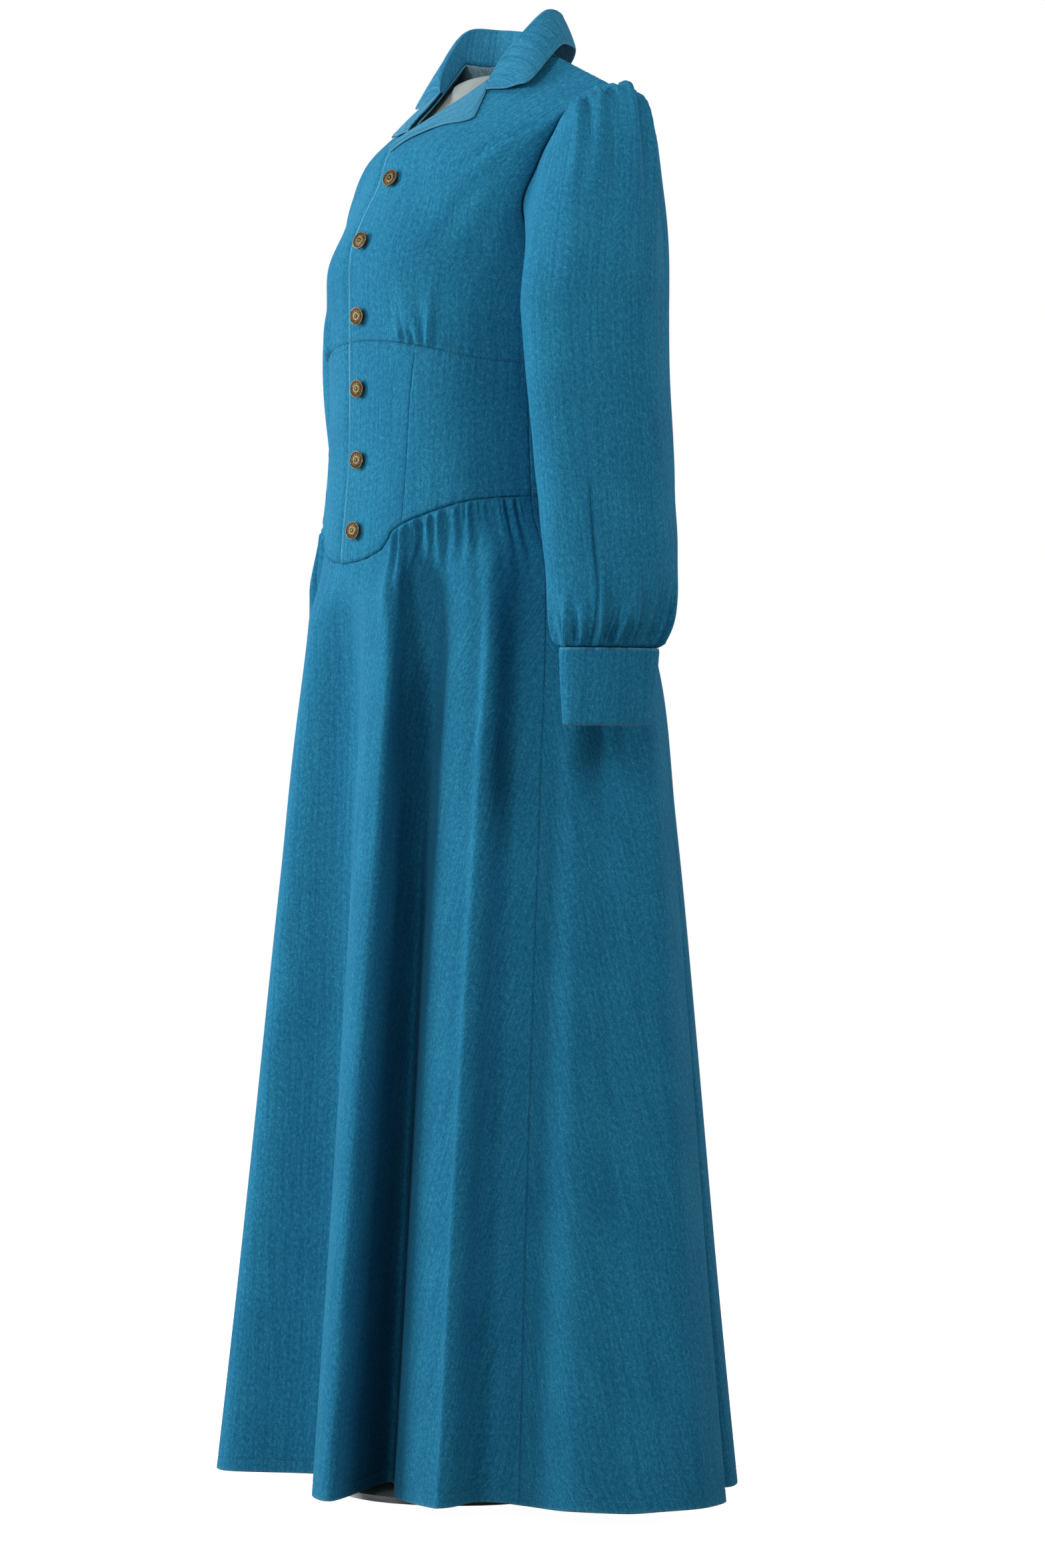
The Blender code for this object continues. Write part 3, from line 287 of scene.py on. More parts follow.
def arc_share(degrees, squareness):
    """Share of the section's depth, signed, 1 at the centre front and -1 at the centre back."""
    cosine = np.cos(np.radians(degrees))
    return np.sign(cosine) * np.abs(cosine) ** (2.0 / squareness)


def body_point(degrees, height):
    """The body surface between the yoke and underbust seams; 0 degrees is the centre front."""
    rows = np.array(BODY)
    section = interpolate(rows[:, 0], rows[:, 1:], height)
    half_width, front_y, back_y, side_y, squareness = np.moveaxis(section, -1, 0)
    depth = arc_share(degrees, squareness)
    y = np.where(depth >= 0, side_y + (front_y - side_y) * depth, side_y - (back_y - side_y) * depth)
    return np.stack([arc_x(degrees, half_width, squareness), y, height + 0 * y], -1)


def shoulder_line(x):
    """Height and depth of the shoulder seam at a distance from the centre."""
    share = (x - NECK_SIDE[0]) / (SHOULDER_TIP[0] - NECK_SIDE[0])
    y = NECK_SIDE[1] + (SHOULDER_TIP[1] - NECK_SIDE[1]) * share
    z = NECK_SIDE[2] + (SHOULDER_TIP[2] - NECK_SIDE[2]) * share
    return y, z


def top_edge(x, centre):
    """Depth and height of the neckline, then of the shoulder seam."""
    across = np.abs(x)
    inside = np.clip(across / NECK_HALF_WIDTH, 0.0, 1.0) ** 2.5
    seam_y, seam_z = shoulder_line(np.maximum(across, NECK_HALF_WIDTH))
    neck_y = centre[0] + (NECK_SIDE[1] - centre[0]) * inside
    neck_z = centre[1] + (NECK_SIDE[2] - centre[1]) * inside
    outside = across >= NECK_HALF_WIDTH
    return np.where(outside, seam_y, neck_y), np.where(outside, seam_z, neck_z)


def bodice_point(rows, centre, degrees, up):
    """A point of the bodice from its rows; 0 degrees is the centre line, 90 the side."""
    rows = np.array(rows)
    numbers = np.arange(len(rows))
    degrees, up = np.broadcast_arrays(np.asarray(degrees, float), np.asarray(up, float))

    def on_row(at):
        values = interpolate(numbers, rows[:, :6], at)
        corner = UNDERARM_ROW
        side_seam = interpolate(numbers[:corner + 1], rows[:corner + 1, 2:5], at)
        armhole = interpolate(numbers[corner:], rows[corner:, 2:5], at)
        border = np.where((at <= corner)[..., None], side_seam, armhole)
        near_side = ease((np.abs(degrees) - 60.0) / 30.0)[..., None]
        values[..., 2:5] += near_side * (border - values[..., 2:5])
        centre_y, centre_z, side_x, side_y, side_z, squareness = np.moveaxis(values, -1, 0)
        x = arc_x(degrees, side_x, squareness)
        y = side_y + (centre_y - side_y) * np.abs(arc_share(degrees, squareness))
        z = centre_z + (side_z - centre_z) * (x / side_x) ** 2
        return np.stack([x, y, z], -1)

    points = on_row(up)
    top = on_row(np.full_like(up, SHOULDER_ROW))
    edge_y, edge_z = top_edge(top[..., 0], centre)
    pull = ease((up - 5.5) / 2.5)
    points[..., 1] += pull * (edge_y - top[..., 1])
    points[..., 2] += pull * (edge_z - top[..., 2])
    return points


def bodice_front_point(degrees, up):
    """The front above the underbust seam, with the fullness of the bust."""
    points = bodice_point(FRONT_ROWS, FRONT_NECK, degrees, up)
    across = (np.abs(points[..., 0]) - BUST_X) / BUST_SPREAD
    along = (points[..., 2] - BUST_Z) / BUST_SPREAD
    rise = BUST_RISE * np.exp(-(across**2) - along**2) * ease(up / 1.5)
    points[..., 1] -= rise
    join = body_point(degrees, underbust_height(degrees)) - bodice_point(
        FRONT_ROWS, FRONT_NECK, degrees, np.zeros_like(up)
    )
    return points + join * (1.0 - ease(up / 1.5))[..., None]


def bodice_back_point(degrees, up):
    """The back above the underbust seam; 0 degrees is the centre back."""
    points = bodice_point(BACK_ROWS, BACK_NECK, degrees, up)
    turned = 180.0 - np.asarray(degrees, float)
    join = body_point(turned, underbust_height(turned)) - bodice_point(
        BACK_ROWS, BACK_NECK, degrees, np.zeros_like(up)
    )
    return points + join * (1.0 - ease(up / 1.5))[..., None]


def underbust_height(degrees):
    """Height of the underbust seam round the body."""
    across = np.abs(np.sin(np.radians(degrees)))
    front = np.cos(np.radians(degrees)) >= 0
    centre = np.where(front, FRONT_ROWS[0][1], BACK_ROWS[0][1])
    return centre + (FRONT_ROWS[0][4] - centre) * across**2


def yoke_height(degrees):
    """Height of the yoke seam round the body, with the tab at the centre front."""
    seam = np.array(YOKE_SEAM)
    across = np.abs(arc_x(degrees, seam[-1, 0], BODY[1][5]))
    front = interpolate(seam[:, 0], seam[:, 1], across)
    side = seam[-1, 1]
    back = YOKE_BACK_CENTRE + (side - YOKE_BACK_CENTRE) * (across / seam[-1, 0]) ** 2
    return np.where(np.cos(np.radians(degrees)) >= 0, front, back)


def degrees_at(x, half_width, squareness):
    """Angle on a section whose distance from the centre plane is x."""
    share = np.clip(np.abs(x) / half_width, 0.0, 1.0) ** (squareness / 2.0)
    return np.sign(x) * np.degrees(np.arcsin(share))


def grid_normals(grid, closed):
    """Outward directions of a grid whose columns run round and rows run up."""
    if closed:
        across = np.roll(grid, -1, 1) - np.roll(grid, 1, 1)
    else:
        across = np.gradient(grid, axis=1)
    return unit(np.cross(across, np.gradient(grid, axis=0)))


def mirrored(grid):
    """The same panel on the wearer's right side."""
    return grid[:, ::-1] * MIRROR


def front_edge_degrees(up, edge_x=None):
    """Angle of the front edge of the bodice: the placket, then the neckline."""
    rows = np.array(FRONT_ROWS)
    numbers = np.arange(len(rows))
    side_x = interpolate(numbers, rows[:, 2], up)
    squareness = interpolate(numbers, rows[:, 5], up)
    edge = interpolate(numbers, rows[:, 6], up)
    if edge_x is not None:
        edge = np.where(up < 5.0, edge_x, np.maximum(edge, edge_x))
    return degrees_at(edge, side_x, squareness)


def princess_degrees(up):
    """Angle of the princess seam from the yoke seam to the underbust seam."""
    seam = np.array(PRINCESS_SEAM)
    return interpolate(seam[:, 0], seam[:, 1], up)


def edge_degrees(x):
    """The angle of a vertical edge near the centre front, at any height."""
    return lambda up: degrees_at(np.full_like(up, x), BODY[3][1], BODY[3][5])


def hem_outline(degrees):
    """The folded hem seen from above, by place round the yoke seam."""
    places, points = [], []
    for row in FOLDS:
        fold = dict(zip(FOLD_COLUMNS, row))
        for mark, label in (("ridge_start", "start"), ("ridge_end", "end"), ("valley", "valley")):
            places.append(fold[mark])
            points.append((fold[label + "_x"], fold[label + "_y"]))
    return interpolate(places, points, degrees, period=360.0)


def skirt_point(degrees, down):
    """The skirt by place round the yoke seam and share of the way down to the hem."""
    degrees, down = np.broadcast_arrays(np.asarray(degrees, float), np.asarray(down, float))
    seam = body_point(degrees, yoke_height(degrees))
    height = seam[..., 2] + (HEM_HEIGHT - seam[..., 2]) * down
    swell = np.array(SWELL)[::-1]
    size, centre_y = np.moveaxis(interpolate(swell[:, 0], swell[:, 1:], height), -1, 0)
    angle = np.radians(degrees)
    smooth_hem = np.stack([HEM_HALF_WIDTH * np.sin(angle), -HEM_HALF_DEPTH * np.cos(angle)], -1)
    folded_hem = hem_outline(degrees) - np.array([0.0, SWELL[-1][2]])
    growth = np.array(FOLD_GROWTH)
    open_share = interpolate(growth[:, 0], growth[:, 1], down)[..., None]
    ring = size[..., None] * (smooth_hem + open_share * (folded_hem - smooth_hem))
    ring[..., 1] += centre_y
    release = ease(down / 0.07)[..., None]
    plan = seam[..., :2] + release * (ring - seam[..., :2])
    return np.concatenate([plan, height[..., None]], -1)


def armhole_point(turn):
    """The armhole: turn 0 is the underarm, 0.5 the shoulder tip, in front until there."""
    reach = SHOULDER_ROW - UNDERARM_ROW
    front = UNDERARM_ROW + np.clip(turn / 0.5, 0.0, 1.0) * reach
    back = SHOULDER_ROW - np.clip((turn - 0.5) / 0.5, 0.0, 1.0) * reach
    side = np.full_like(turn, 90.0)
    in_front = (turn <= 0.5)[..., None]
    return np.where(in_front, bodice_front_point(side, front), bodice_back_point(side, back))


def sleeve_ring_point(turn, height):
    """A level ring of the sleeve, by turn and height."""
    rings = np.array(SLEEVE_RINGS)[::-1]
    section = interpolate(rings[:, 0], rings[:, 1:], height)
    centre_x, centre_y, half_x, half_y = np.moveaxis(section, -1, 0)
    angle = 2.0 * np.pi * turn
    return np.stack([
        centre_x - half_x * np.cos(angle), centre_y - half_y * np.sin(angle), height + 0 * turn,
    ], -1)


def sleeve_point(turn, down, swing):
    """A sleeve, as on the left; down runs 0 to 1 over the cap and 1 to 2 to the cuff."""
    turn, down = np.broadcast_arrays(np.asarray(turn, float), np.asarray(down, float))
    start = armhole_point(turn)
    middle = 0.5 * (armhole_point(np.array(0.0)) + armhole_point(np.array(0.5)))
    spoke = start - middle
    spoke[..., 0] = 0.0
    away = unit(np.array([1.0, 0.0, 0.0]) + CAP_FLARE * unit(spoke))
    start = start + 2.0 * SEAM_GAP * away
    top_height = SLEEVE_RINGS[0][0]
    hang = np.array([*swing, 0.0])
    end = sleeve_ring_point(turn, np.full_like(turn, top_height)) + SWING_AT_TOP * hang
    high = 0.5 - 0.5 * np.cos(2.0 * np.pi * turn)
    leave = (CAP_REACH * (0.13 + 0.87 * high))[..., None] * away
    arrive = (CAP_DROP * (0.15 + 0.85 * high))[..., None] * np.array([0.0, 0.0, -1.0])
    share = np.clip(down, 0.0, 1.0)[..., None]
    square, cube = share**2, share**3
    cap = (
        (2 * cube - 3 * square + 1) * start + (cube - 2 * square + share) * leave
        + (3 * square - 2 * cube) * end + (cube - square) * arrive
    )
    low_height = SLEEVE_RINGS[-1][0]
    height = top_height + (low_height - top_height) * np.clip(down - 1.0, 0.0, 1.0)
    swung = SWING_AT_TOP + (1.0 - SWING_AT_TOP) * ease((down - 1.0) / 0.6)
    arm = sleeve_ring_point(turn, height) + swung[..., None] * hang
    return np.where((down <= 1.0)[..., None], cap, arm)


def front_at(x, height):
    """Point and outward direction of the front at a distance from the centre and a height."""
    def place(across, level):
        if level < FRONT_ROWS[0][1]:
            degrees = degrees_at(np.array(across), BODY[3][1], BODY[3][5])
            return body_point(degrees, np.array(level))
        ups = np.linspace(0.0, 5.0, 201)
        degrees = degrees_at(np.full_like(ups, across), FRONT_ROWS[2][2], FRONT_ROWS[2][5])
        points = bodice_front_point(degrees, ups)
        return points[np.argmin(np.abs(points[:, 2] - level))]
    point = place(x, height)
    across = place(x + 0.004, height) - place(x - 0.004, height)
    rise = place(x, height + 0.006) - place(x, height - 0.006)
    return point, unit(np.cross(across, rise))


# Directions
UP = np.array([0.0, 0.0, 1.0])
MIRROR = np.array([-1.0, 1.0, 1.0])

# Sizes of the fine surface
CLOTH = 0.0011
STITCH_PITCH = 0.0030
STITCH_LENGTH = 0.0021
STITCH_RADIUS = 0.00032
SEAM_DIP = 0.0006
SEAM_WIDTH = 0.0017
PUCKER = 0.00035
ALL_BORDERS = ("left", "right", "bottom", "top")
PUCKER_PITCHES = (0.0095, 0.0132, 0.021)
WORN_EDGE_WIDTH = 0.0016

# Points across the meshes, and seeds of the draws
SKIRT_COLUMNS = 301
SLEEVE_COLUMNS = 240
CENTRE_PANEL_COLUMNS = 70
SIDE_PANEL_COLUMNS = 90
BACK_PANEL_COLUMNS = 180
BODICE_FRONT_COLUMNS = 100
BODICE_BACK_COLUMNS = 170
COLLAR_COLUMNS = 201
FALL_ROWS = 26
BUTTON_SIDES = 48
SKIRT_SEED = 11
SLEEVE_SEEDS = {"left": 31, "right": 37}

# Thickness of the pieces of more than one layer of cloth, and what the turned hem adds
CUFF_CLOTH = 0.0019
COLLAR_CLOTH = 0.0017
LAPEL_CLOTH = 0.0013
HEM_CLOTH = 0.0011

# Fold of the hem, and the dip where a folded edge meets its turned layer
HEM_FOLD = 0.0115
HEM_DIP = 0.0006
FOLD_WIDTH = 0.0012
SEAM_FADE = 0.02
GATHER_SEAM_WIDTH = 0.002
COLLAR_EDGE_DIP = 0.0007
LAPEL_EDGE_DIP = 0.0006
CUFF_EDGE_DIP = 0.0009
STITCH_DIP = 0.00035
STITCH_DIP_WIDTH = 0.0009

# Distance of the rows of stitches from their edge or seam
HEM_STITCHES = 0.0110
PLACKET_STITCHES = 0.0055
YOKE_STITCHES = 0.0075
WAIST_STITCHES = 0.0060
UNDERBUST_STITCHES = 0.0035
LAPEL_STITCHES = 0.0050

# Row of the bodice where the lapel ends and the collar starts
COLLAR_START = 7.22

# The lapel's tip, its share of the way up the lapel, and the lapel's end at the notch
LAPEL_TIP_PLACE = 0.78
LAPEL_TIP = (0.0820, -0.0260, 1.3605)
LAPEL_END = (0.0615, 0.0020, 1.3865)

# Paleness of the worn cloth
LAPEL_WEAR = 0.42
COLLAR_WEAR = 0.14
CUFF_WEAR = 0.8
CUFF_WEAR_WIDTH = 0.0014
COLLAR_WEAR_WIDTH = 0.0015

# Height over the bodice of the collar's fall, of the lapel and of its roll
FALL_LIFT = 0.0046
LAPEL_LIFT = 0.0023
LAPEL_ROLL_LIFT = 0.0022
LAPEL_BOW = 0.0006

# Height of the collar's roll, and the drops of fold and edge towards the ends
ROLL_RISE = 0.0026
FALL_BOW = 0.0012
END_FOLD_DROP = 0.0045
END_EDGE_DROP = 0.0030
END_ROLL = 0.0022
END_LENGTH = 1.1

# Camera: the photograph's 1568 by 2353 frame
CAMERA_AZIMUTH = math.radians(60.0)
CAMERA_DISTANCE = 5.0
CAMERA_ASIDE = 0.0647
CAMERA_HEIGHT = 0.705
FRAME_HEIGHT = 2353.0 / 1500.0
SENSOR = 36.0

# Lights: name, place to the picture's right, towards the camera and up, width, power
LIGHTS = (
    ("key", -2.7, -0.1, 1.6, 1.0, 80.0),
    ("left_front", -2.0, 2.4, 2.4, 0.7, 38.0),
    ("front", -0.7, 3.3, 1.9, 1.3, 15.0),
    ("top", -0.4, -0.3, 3.2, 1.4, 18.0),
    ("right_high", 1.6, 1.3, 2.3, 0.8, 22.0),
    ("far_left", -1.6, -2.4, 1.6, 1.8, 20.0),
    ("far_right", 2.4, -1.5, 1.5, 1.6, 30.0),
)
FILL_STRENGTH = 0.03
LIGHT_AIM_HEIGHT = 0.75
FLOOR_GLOW = 0.985
FLOOR_HALF_SIZE = 60.0


def principled(name):
    """A new node material with its tree and shader."""
    material = bpy.data.materials.new(name)
    material.use_nodes = True
    tree = material.node_tree
    shader = tree.nodes["Principled BSDF"]
    return material, tree, shader


def add_node(tree, kind, **values):
    """A node with its properties and socket values set."""
    node = tree.nodes.new(kind)
    for key, value in values.items():
        if key in node.inputs:
            node.inputs[key].default_value = value
        else:
            setattr(node, key, value)
    return node


def noise(tree, place, scale, detail=3.0, stretch=(1, 1, 1), turn=0.0):
    """A noise texture, stretched and turned."""
    mapping = add_node(tree, "ShaderNodeMapping")
    mapping.inputs["Scale"].default_value = stretch
    mapping.inputs["Rotation"].default_value = (0.0, 0.0, turn)
    tree.links.new(place, mapping.inputs["Vector"])
    texture = add_node(tree, "ShaderNodeTexNoise")
    texture.inputs["Scale"].default_value = scale
    texture.inputs["Detail"].default_value = detail
    tree.links.new(mapping.outputs["Vector"], texture.inputs["Vector"])
    return texture.outputs["Fac"]


def ramp(tree, source, stops):
    """A colour ramp through the stops."""
    node = add_node(tree, "ShaderNodeValToRGB")
    elements = node.color_ramp.elements
    while len(elements) < len(stops):
        elements.new(0.5)
    for element, (at, colour) in zip(elements, stops):
        element.position = at
        element.color = (*colour, 1.0)
    tree.links.new(source, node.inputs["Fac"])
    return node.outputs["Color"]


def mix(tree, share, first, second, blend="MIX"):
    """A colour mix; each input is a socket or a value."""
    node = add_node(tree, "ShaderNodeMix", data_type="RGBA", blend_type=blend)
    for socket, value in ((node.inputs[0], share), (node.inputs[6], first), (node.inputs[7], second)):
        if isinstance(value, bpy.types.NodeSocket):
            tree.links.new(value, socket)
        elif isinstance(value, (int, float)):
            socket.default_value = value
        else:
            socket.default_value = (*value, 1.0)
    return node.outputs[2]


def math_node(tree, operation, first, second):
    """A math node; each input is a socket or a number."""
    node = add_node(tree, "ShaderNodeMath", operation=operation)
    for socket, value in zip(node.inputs, (first, second)):
        if isinstance(value, bpy.types.NodeSocket):
            tree.links.new(value, socket)
        else:
            socket.default_value = value
    return node.outputs[0]


# Denim: the twill's angle and scale, and the scales of flecks, mottle, slubs and tone
TWILL_ANGLE = math.radians(32)
TWILL_SCALE = 360.0
FLECK_SCALE = 1350.0
MOTTLE_SCALE = 400.0
SLUB_SCALE = 330.0
TONE_SCALE = 14.0
TWILL_SHARE = 0.30
FLECK_SHARE = 0.70
BUMP_STRENGTH = 0.35
BUMP_DISTANCE = 0.00022


def set_roughness(tree, shader, source, low, high):
    """Roughness between two values, by a socket from 0 to 1."""
    node = add_node(tree, "ShaderNodeMapRange")
    node.inputs["To Min"].default_value = low
    node.inputs["To Max"].default_value = high
    tree.links.new(source, node.inputs["Value"])
    tree.links.new(node.outputs["Result"], shader.inputs["Roughness"])


def denim_material(name, dark, mean, light, wear):
    """Denim: twill grain along the cloth, slubs, soft tone changes and paler worn edges."""
    material, tree, shader = principled(name)
    place = add_node(tree, "ShaderNodeTexCoord")
    cloth_place, solid_place = place.outputs["UV"], place.outputs["Object"]
    turned = add_node(tree, "ShaderNodeMapping")
    turned.inputs["Rotation"].default_value = (0.0, 0.0, TWILL_ANGLE)
    tree.links.new(cloth_place, turned.inputs["Vector"])
    twill = add_node(tree, "ShaderNodeTexWave", wave_type="BANDS", bands_direction="X")
    twill.inputs["Scale"].default_value = TWILL_SCALE
    twill.inputs["Distortion"].default_value = 2.2
    twill.inputs["Detail Scale"].default_value = 2.0
    tree.links.new(turned.outputs["Vector"], twill.inputs["Vector"])
    flecks = noise(tree, cloth_place, FLECK_SCALE, 2.0, (1.0, 0.36, 1.0), math.radians(10))
    mottle = noise(tree, cloth_place, MOTTLE_SCALE, 3.0, (1.0, 0.50, 1.0), math.radians(20))
    slubs = noise(tree, cloth_place, SLUB_SCALE, 2.0, (1.0, 0.035, 1.0))
    tone = noise(tree, solid_place, TONE_SCALE, 3.0)
    weave = math_node(tree, "MULTIPLY", twill.outputs["Fac"], TWILL_SHARE)
    weave = math_node(tree, "ADD", weave, math_node(tree, "MULTIPLY", flecks, FLECK_SHARE))
    threads = ramp(tree, weave, ((0.34, dark), (0.50, mean), (0.68, light)))
    patches = ramp(tree, mottle, (
        (0.34, (0.68, 0.80, 0.86)), (0.52, (1.0, 1.0, 1.0)), (0.68, (1.60, 1.22, 1.14)),
    ))
    slub = ramp(tree, slubs, ((0.36, (0.82, 0.89, 0.92)), (0.64, (1.20, 1.11, 1.07))))
    soft = ramp(tree, tone, ((0.3, (0.88, 0.92, 0.94)), (0.7, (1.10, 1.06, 1.04))))
    threads = mix(tree, 1.0, threads, patches, "MULTIPLY")
    colour = mix(tree, 1.0, threads, slub, "MULTIPLY")
    colour = mix(tree, 1.0, colour, soft, "MULTIPLY")
    worn = add_node(tree, "ShaderNodeAttribute", attribute_name="wear")
    patchy = ramp(tree, slubs, ((0.3, (0.2, 0.2, 0.2)), (0.65, (1.0, 1.0, 1.0))))
    share = math_node(tree, "MULTIPLY", worn.outputs["Fac"], patchy)
    colour = mix(tree, share, colour, wear)
    tree.links.new(colour, shader.inputs["Base Color"])
    set_roughness(tree, shader, slubs, 0.78, 0.95)
    shader.inputs["Specular IOR Level"].default_value = 0.06
    shader.inputs["Sheen Weight"].default_value = 0.012
    shader.inputs["Sheen Roughness"].default_value = 0.5
    height = math_node(tree, "ADD", weave, math_node(tree, "MULTIPLY", mottle, 0.5))
    bump = add_node(tree, "ShaderNodeBump")
    bump.inputs["Strength"].default_value = BUMP_STRENGTH
    bump.inputs["Distance"].default_value = BUMP_DISTANCE
    tree.links.new(height, bump.inputs["Height"])
    tree.links.new(bump.outputs["Normal"], shader.inputs["Normal"])
    return material


DENIM = denim_material("denim_outside", (0.003, 0.108, 0.220), (0.008, 0.162, 0.300),
                       (0.040, 0.245, 0.390), (0.120, 0.350, 0.490))
WRONG = denim_material("denim_wrong_side", (0.090, 0.200, 0.260), (0.170, 0.300, 0.360),
                       (0.280, 0.420, 0.470), (0.300, 0.450, 0.500))
THREAD = denim_material("thread", (0.030, 0.190, 0.310), (0.050, 0.250, 0.380),
                        (0.100, 0.320, 0.450), (0.160, 0.400, 0.540))


def brass_material():
    """Aged brass: dark in the hollows, bright on the raised work."""
    material, tree, shader = principled("aged_brass")
    place = add_node(tree, "ShaderNodeTexCoord")
    patches = noise(tree, place.outputs["Object"], 420.0, 4.0)
    worn = add_node(tree, "ShaderNodeAttribute", attribute_name="wear")
    colour = ramp(tree, patches, ((0.35, (0.15, 0.105, 0.048)), (0.65, (0.34, 0.255, 0.13))))
    colour = mix(tree, worn.outputs["Fac"], (0.016, 0.010, 0.006), colour)
    tree.links.new(colour, shader.inputs["Base Color"])
    set_roughness(tree, shader, patches, 0.36, 0.58)
    shader.inputs["Metallic"].default_value = 0.9
    return material


def plain_material(name, low, high, scale, roughness, metallic=0.0):
    """A smooth material with a slight mottle."""
    material, tree, shader = principled(name)
    place = add_node(tree, "ShaderNodeTexCoord")
    patches = noise(tree, place.outputs["Object"], scale, 3.0)
    tree.links.new(ramp(tree, patches, ((0.3, low), (0.7, high))), shader.inputs["Base Color"])
    set_roughness(tree, shader, patches, roughness - 0.06, roughness + 0.06)
    shader.inputs["Metallic"].default_value = metallic
    return material


BRASS = brass_material()
SKIN = plain_material("form_surface", (0.205, 0.245, 0.235), (0.245, 0.285, 0.275), 30.0, 0.42)
STAND = plain_material("stand_surface", (0.60, 0.61, 0.61), (0.66, 0.67, 0.67), 12.0, 0.35, 0.2)


def lengths(grid, axis):
    """Running length along the rows or columns of a grid, from its start."""
    steps = np.linalg.norm(np.diff(grid, axis=axis), axis=-1)
    zero = np.zeros_like(np.take(steps, [0], axis=axis))
    return np.concatenate([zero, np.cumsum(steps, axis=axis)], axis)


def border_distances(grid):
    """Distance of each point from the left, right, bottom and top borders."""
    across, along = lengths(grid, 1), lengths(grid, 0)
    return {"left": across, "right": across[:, -1:] - across, "bottom": along, "top": along[-1:] - along}


def seam_relief(grid, borders, seed):
    """Relief along sewn borders: the dip at the seam and the small puckers beside it."""
    away = border_distances(grid)
    random = np.random.default_rng(seed)
    relief = np.zeros(grid.shape[:2])
    for border in borders:
        distance = away[border]
        other = away["bottom" if border in ("left", "right") else "left"]
        relief -= SEAM_DIP * bell(distance / SEAM_WIDTH)
        wave = np.zeros_like(other)
        for pitch in PUCKER_PITCHES:
            wave += np.sin(2.0 * np.pi * (other / pitch + random.random()))
        relief += PUCKER * wave / 2.0 * bell((distance - 0.004) / 0.006)
    return relief


def pushed(grid, relief, closed=False):
    """The grid moved along its own outward direction."""
    return grid + relief[..., None] * grid_normals(grid, closed)


def make_mesh(name, points, faces, slots, uv, wear, materials):
    """A smooth mesh with cloth coordinates and the wear attribute."""
    mesh = bpy.data.meshes.new(name)
    mesh.from_pydata(points.tolist(), [], faces.tolist())
    for material in materials:
        mesh.materials.append(material)
    mesh.polygons.foreach_set("material_index", slots.astype(np.int32))
    mesh.polygons.foreach_set("use_smooth", np.ones(len(faces), bool))
    layer = mesh.uv_layers.new(name="cloth")
    corner = np.empty(len(mesh.loops), np.int32)
    mesh.loops.foreach_get("vertex_index", corner)
    layer.data.foreach_set("uv", uv[corner].reshape(-1))
    attribute = mesh.attributes.new("wear", "FLOAT", "POINT")
    attribute.data.foreach_set("value", wear.astype(np.float32))
    mesh.update()
    piece = bpy.data.objects.new(name, mesh)
    bpy.context.collection.objects.link(piece)
    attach(piece, ROOT)
    return piece


def shell(name, grid, wall=CLOTH, closed=False, wear=None, worn_edges=(), sheet=None):
    """The cloth in place of the node of that name: the grid is its outside."""
    rows, columns = grid.shape[:2]
    count = rows * columns
    normals = grid_normals(grid, closed)
    thickness = np.broadcast_to(np.asarray(wall, float), grid.shape[:2])[..., None]
    points = np.concatenate([grid.reshape(-1, 3), (grid - thickness * normals).reshape(-1, 3)])
    index = np.arange(count).reshape(rows, columns)
    if closed:
        index = np.concatenate([index, index[:, :1]], 1)
    a, b, c, d = index[:-1, :-1], index[:-1, 1:], index[1:, 1:], index[1:, :-1]
    outer = np.stack([a, b, c, d], -1).reshape(-1, 4)
    inner = np.stack([a, d, c, b], -1).reshape(-1, 4) + count
    low, high = index[0], index[-1]
    rims = [
        np.stack([low[:-1], low[:-1] + count, low[1:] + count, low[1:]], -1),
        np.stack([high[:-1], high[1:], high[1:] + count, high[:-1] + count], -1),
    ]
    if not closed:
        first, last = index[:, 0], index[:, -1]
        rims.append(np.stack([first[:-1], first[1:], first[1:] + count, first[:-1] + count], -1))
        rims.append(np.stack([last[:-1], last[:-1] + count, last[1:] + count, last[1:]], -1))
    rim = np.concatenate(rims)
    faces = np.concatenate([outer, inner, rim])
    slots = np.concatenate([np.zeros(len(outer)), np.ones(len(inner)), np.zeros(len(rim))])
    across, along = lengths(grid, 1), lengths(grid, 0)
    middle = across - across[:, columns // 2:columns // 2 + 1]
    for _ in range(3):
        wide = np.pad(middle, ((8, 8), (0, 0)), "edge")
        middle = sum(wide[step:step + rows] for step in range(17)) / 17.0
    uv = np.stack([middle, along], -1).reshape(-1, 2)
    uv = np.concatenate([uv, uv])
    if wear is None:
        wear = np.zeros((rows, columns))
    away = border_distances(grid)
    for border in worn_edges:
        wear = np.maximum(wear, bell(away[border] / WORN_EDGE_WIDTH))
    wear = np.clip(np.concatenate([wear.reshape(-1)] * 2), 0.0, 1.0)
    piece = make_mesh(name + "_cloth", points, faces, slots, uv, wear, [DENIM, WRONG])
    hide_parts(name)
    if sheet:
        width, length = float(across[:, -1].max()), float(along[-1].max())
        if closed:
            width += float(np.linalg.norm(grid[:, 0] - grid[:, -1], axis=-1).max())
        ring = np.concatenate([grid, grid[:, :1]], 1) if closed else grid
        cells = np.cross(ring[1:, 1:] - ring[:-1, :-1], ring[:-1, 1:] - ring[1:, :-1])
        area = 0.5 * float(np.linalg.norm(cells, axis=-1).sum())
        area = min(max(area, 0.31 * width * length), width * length)


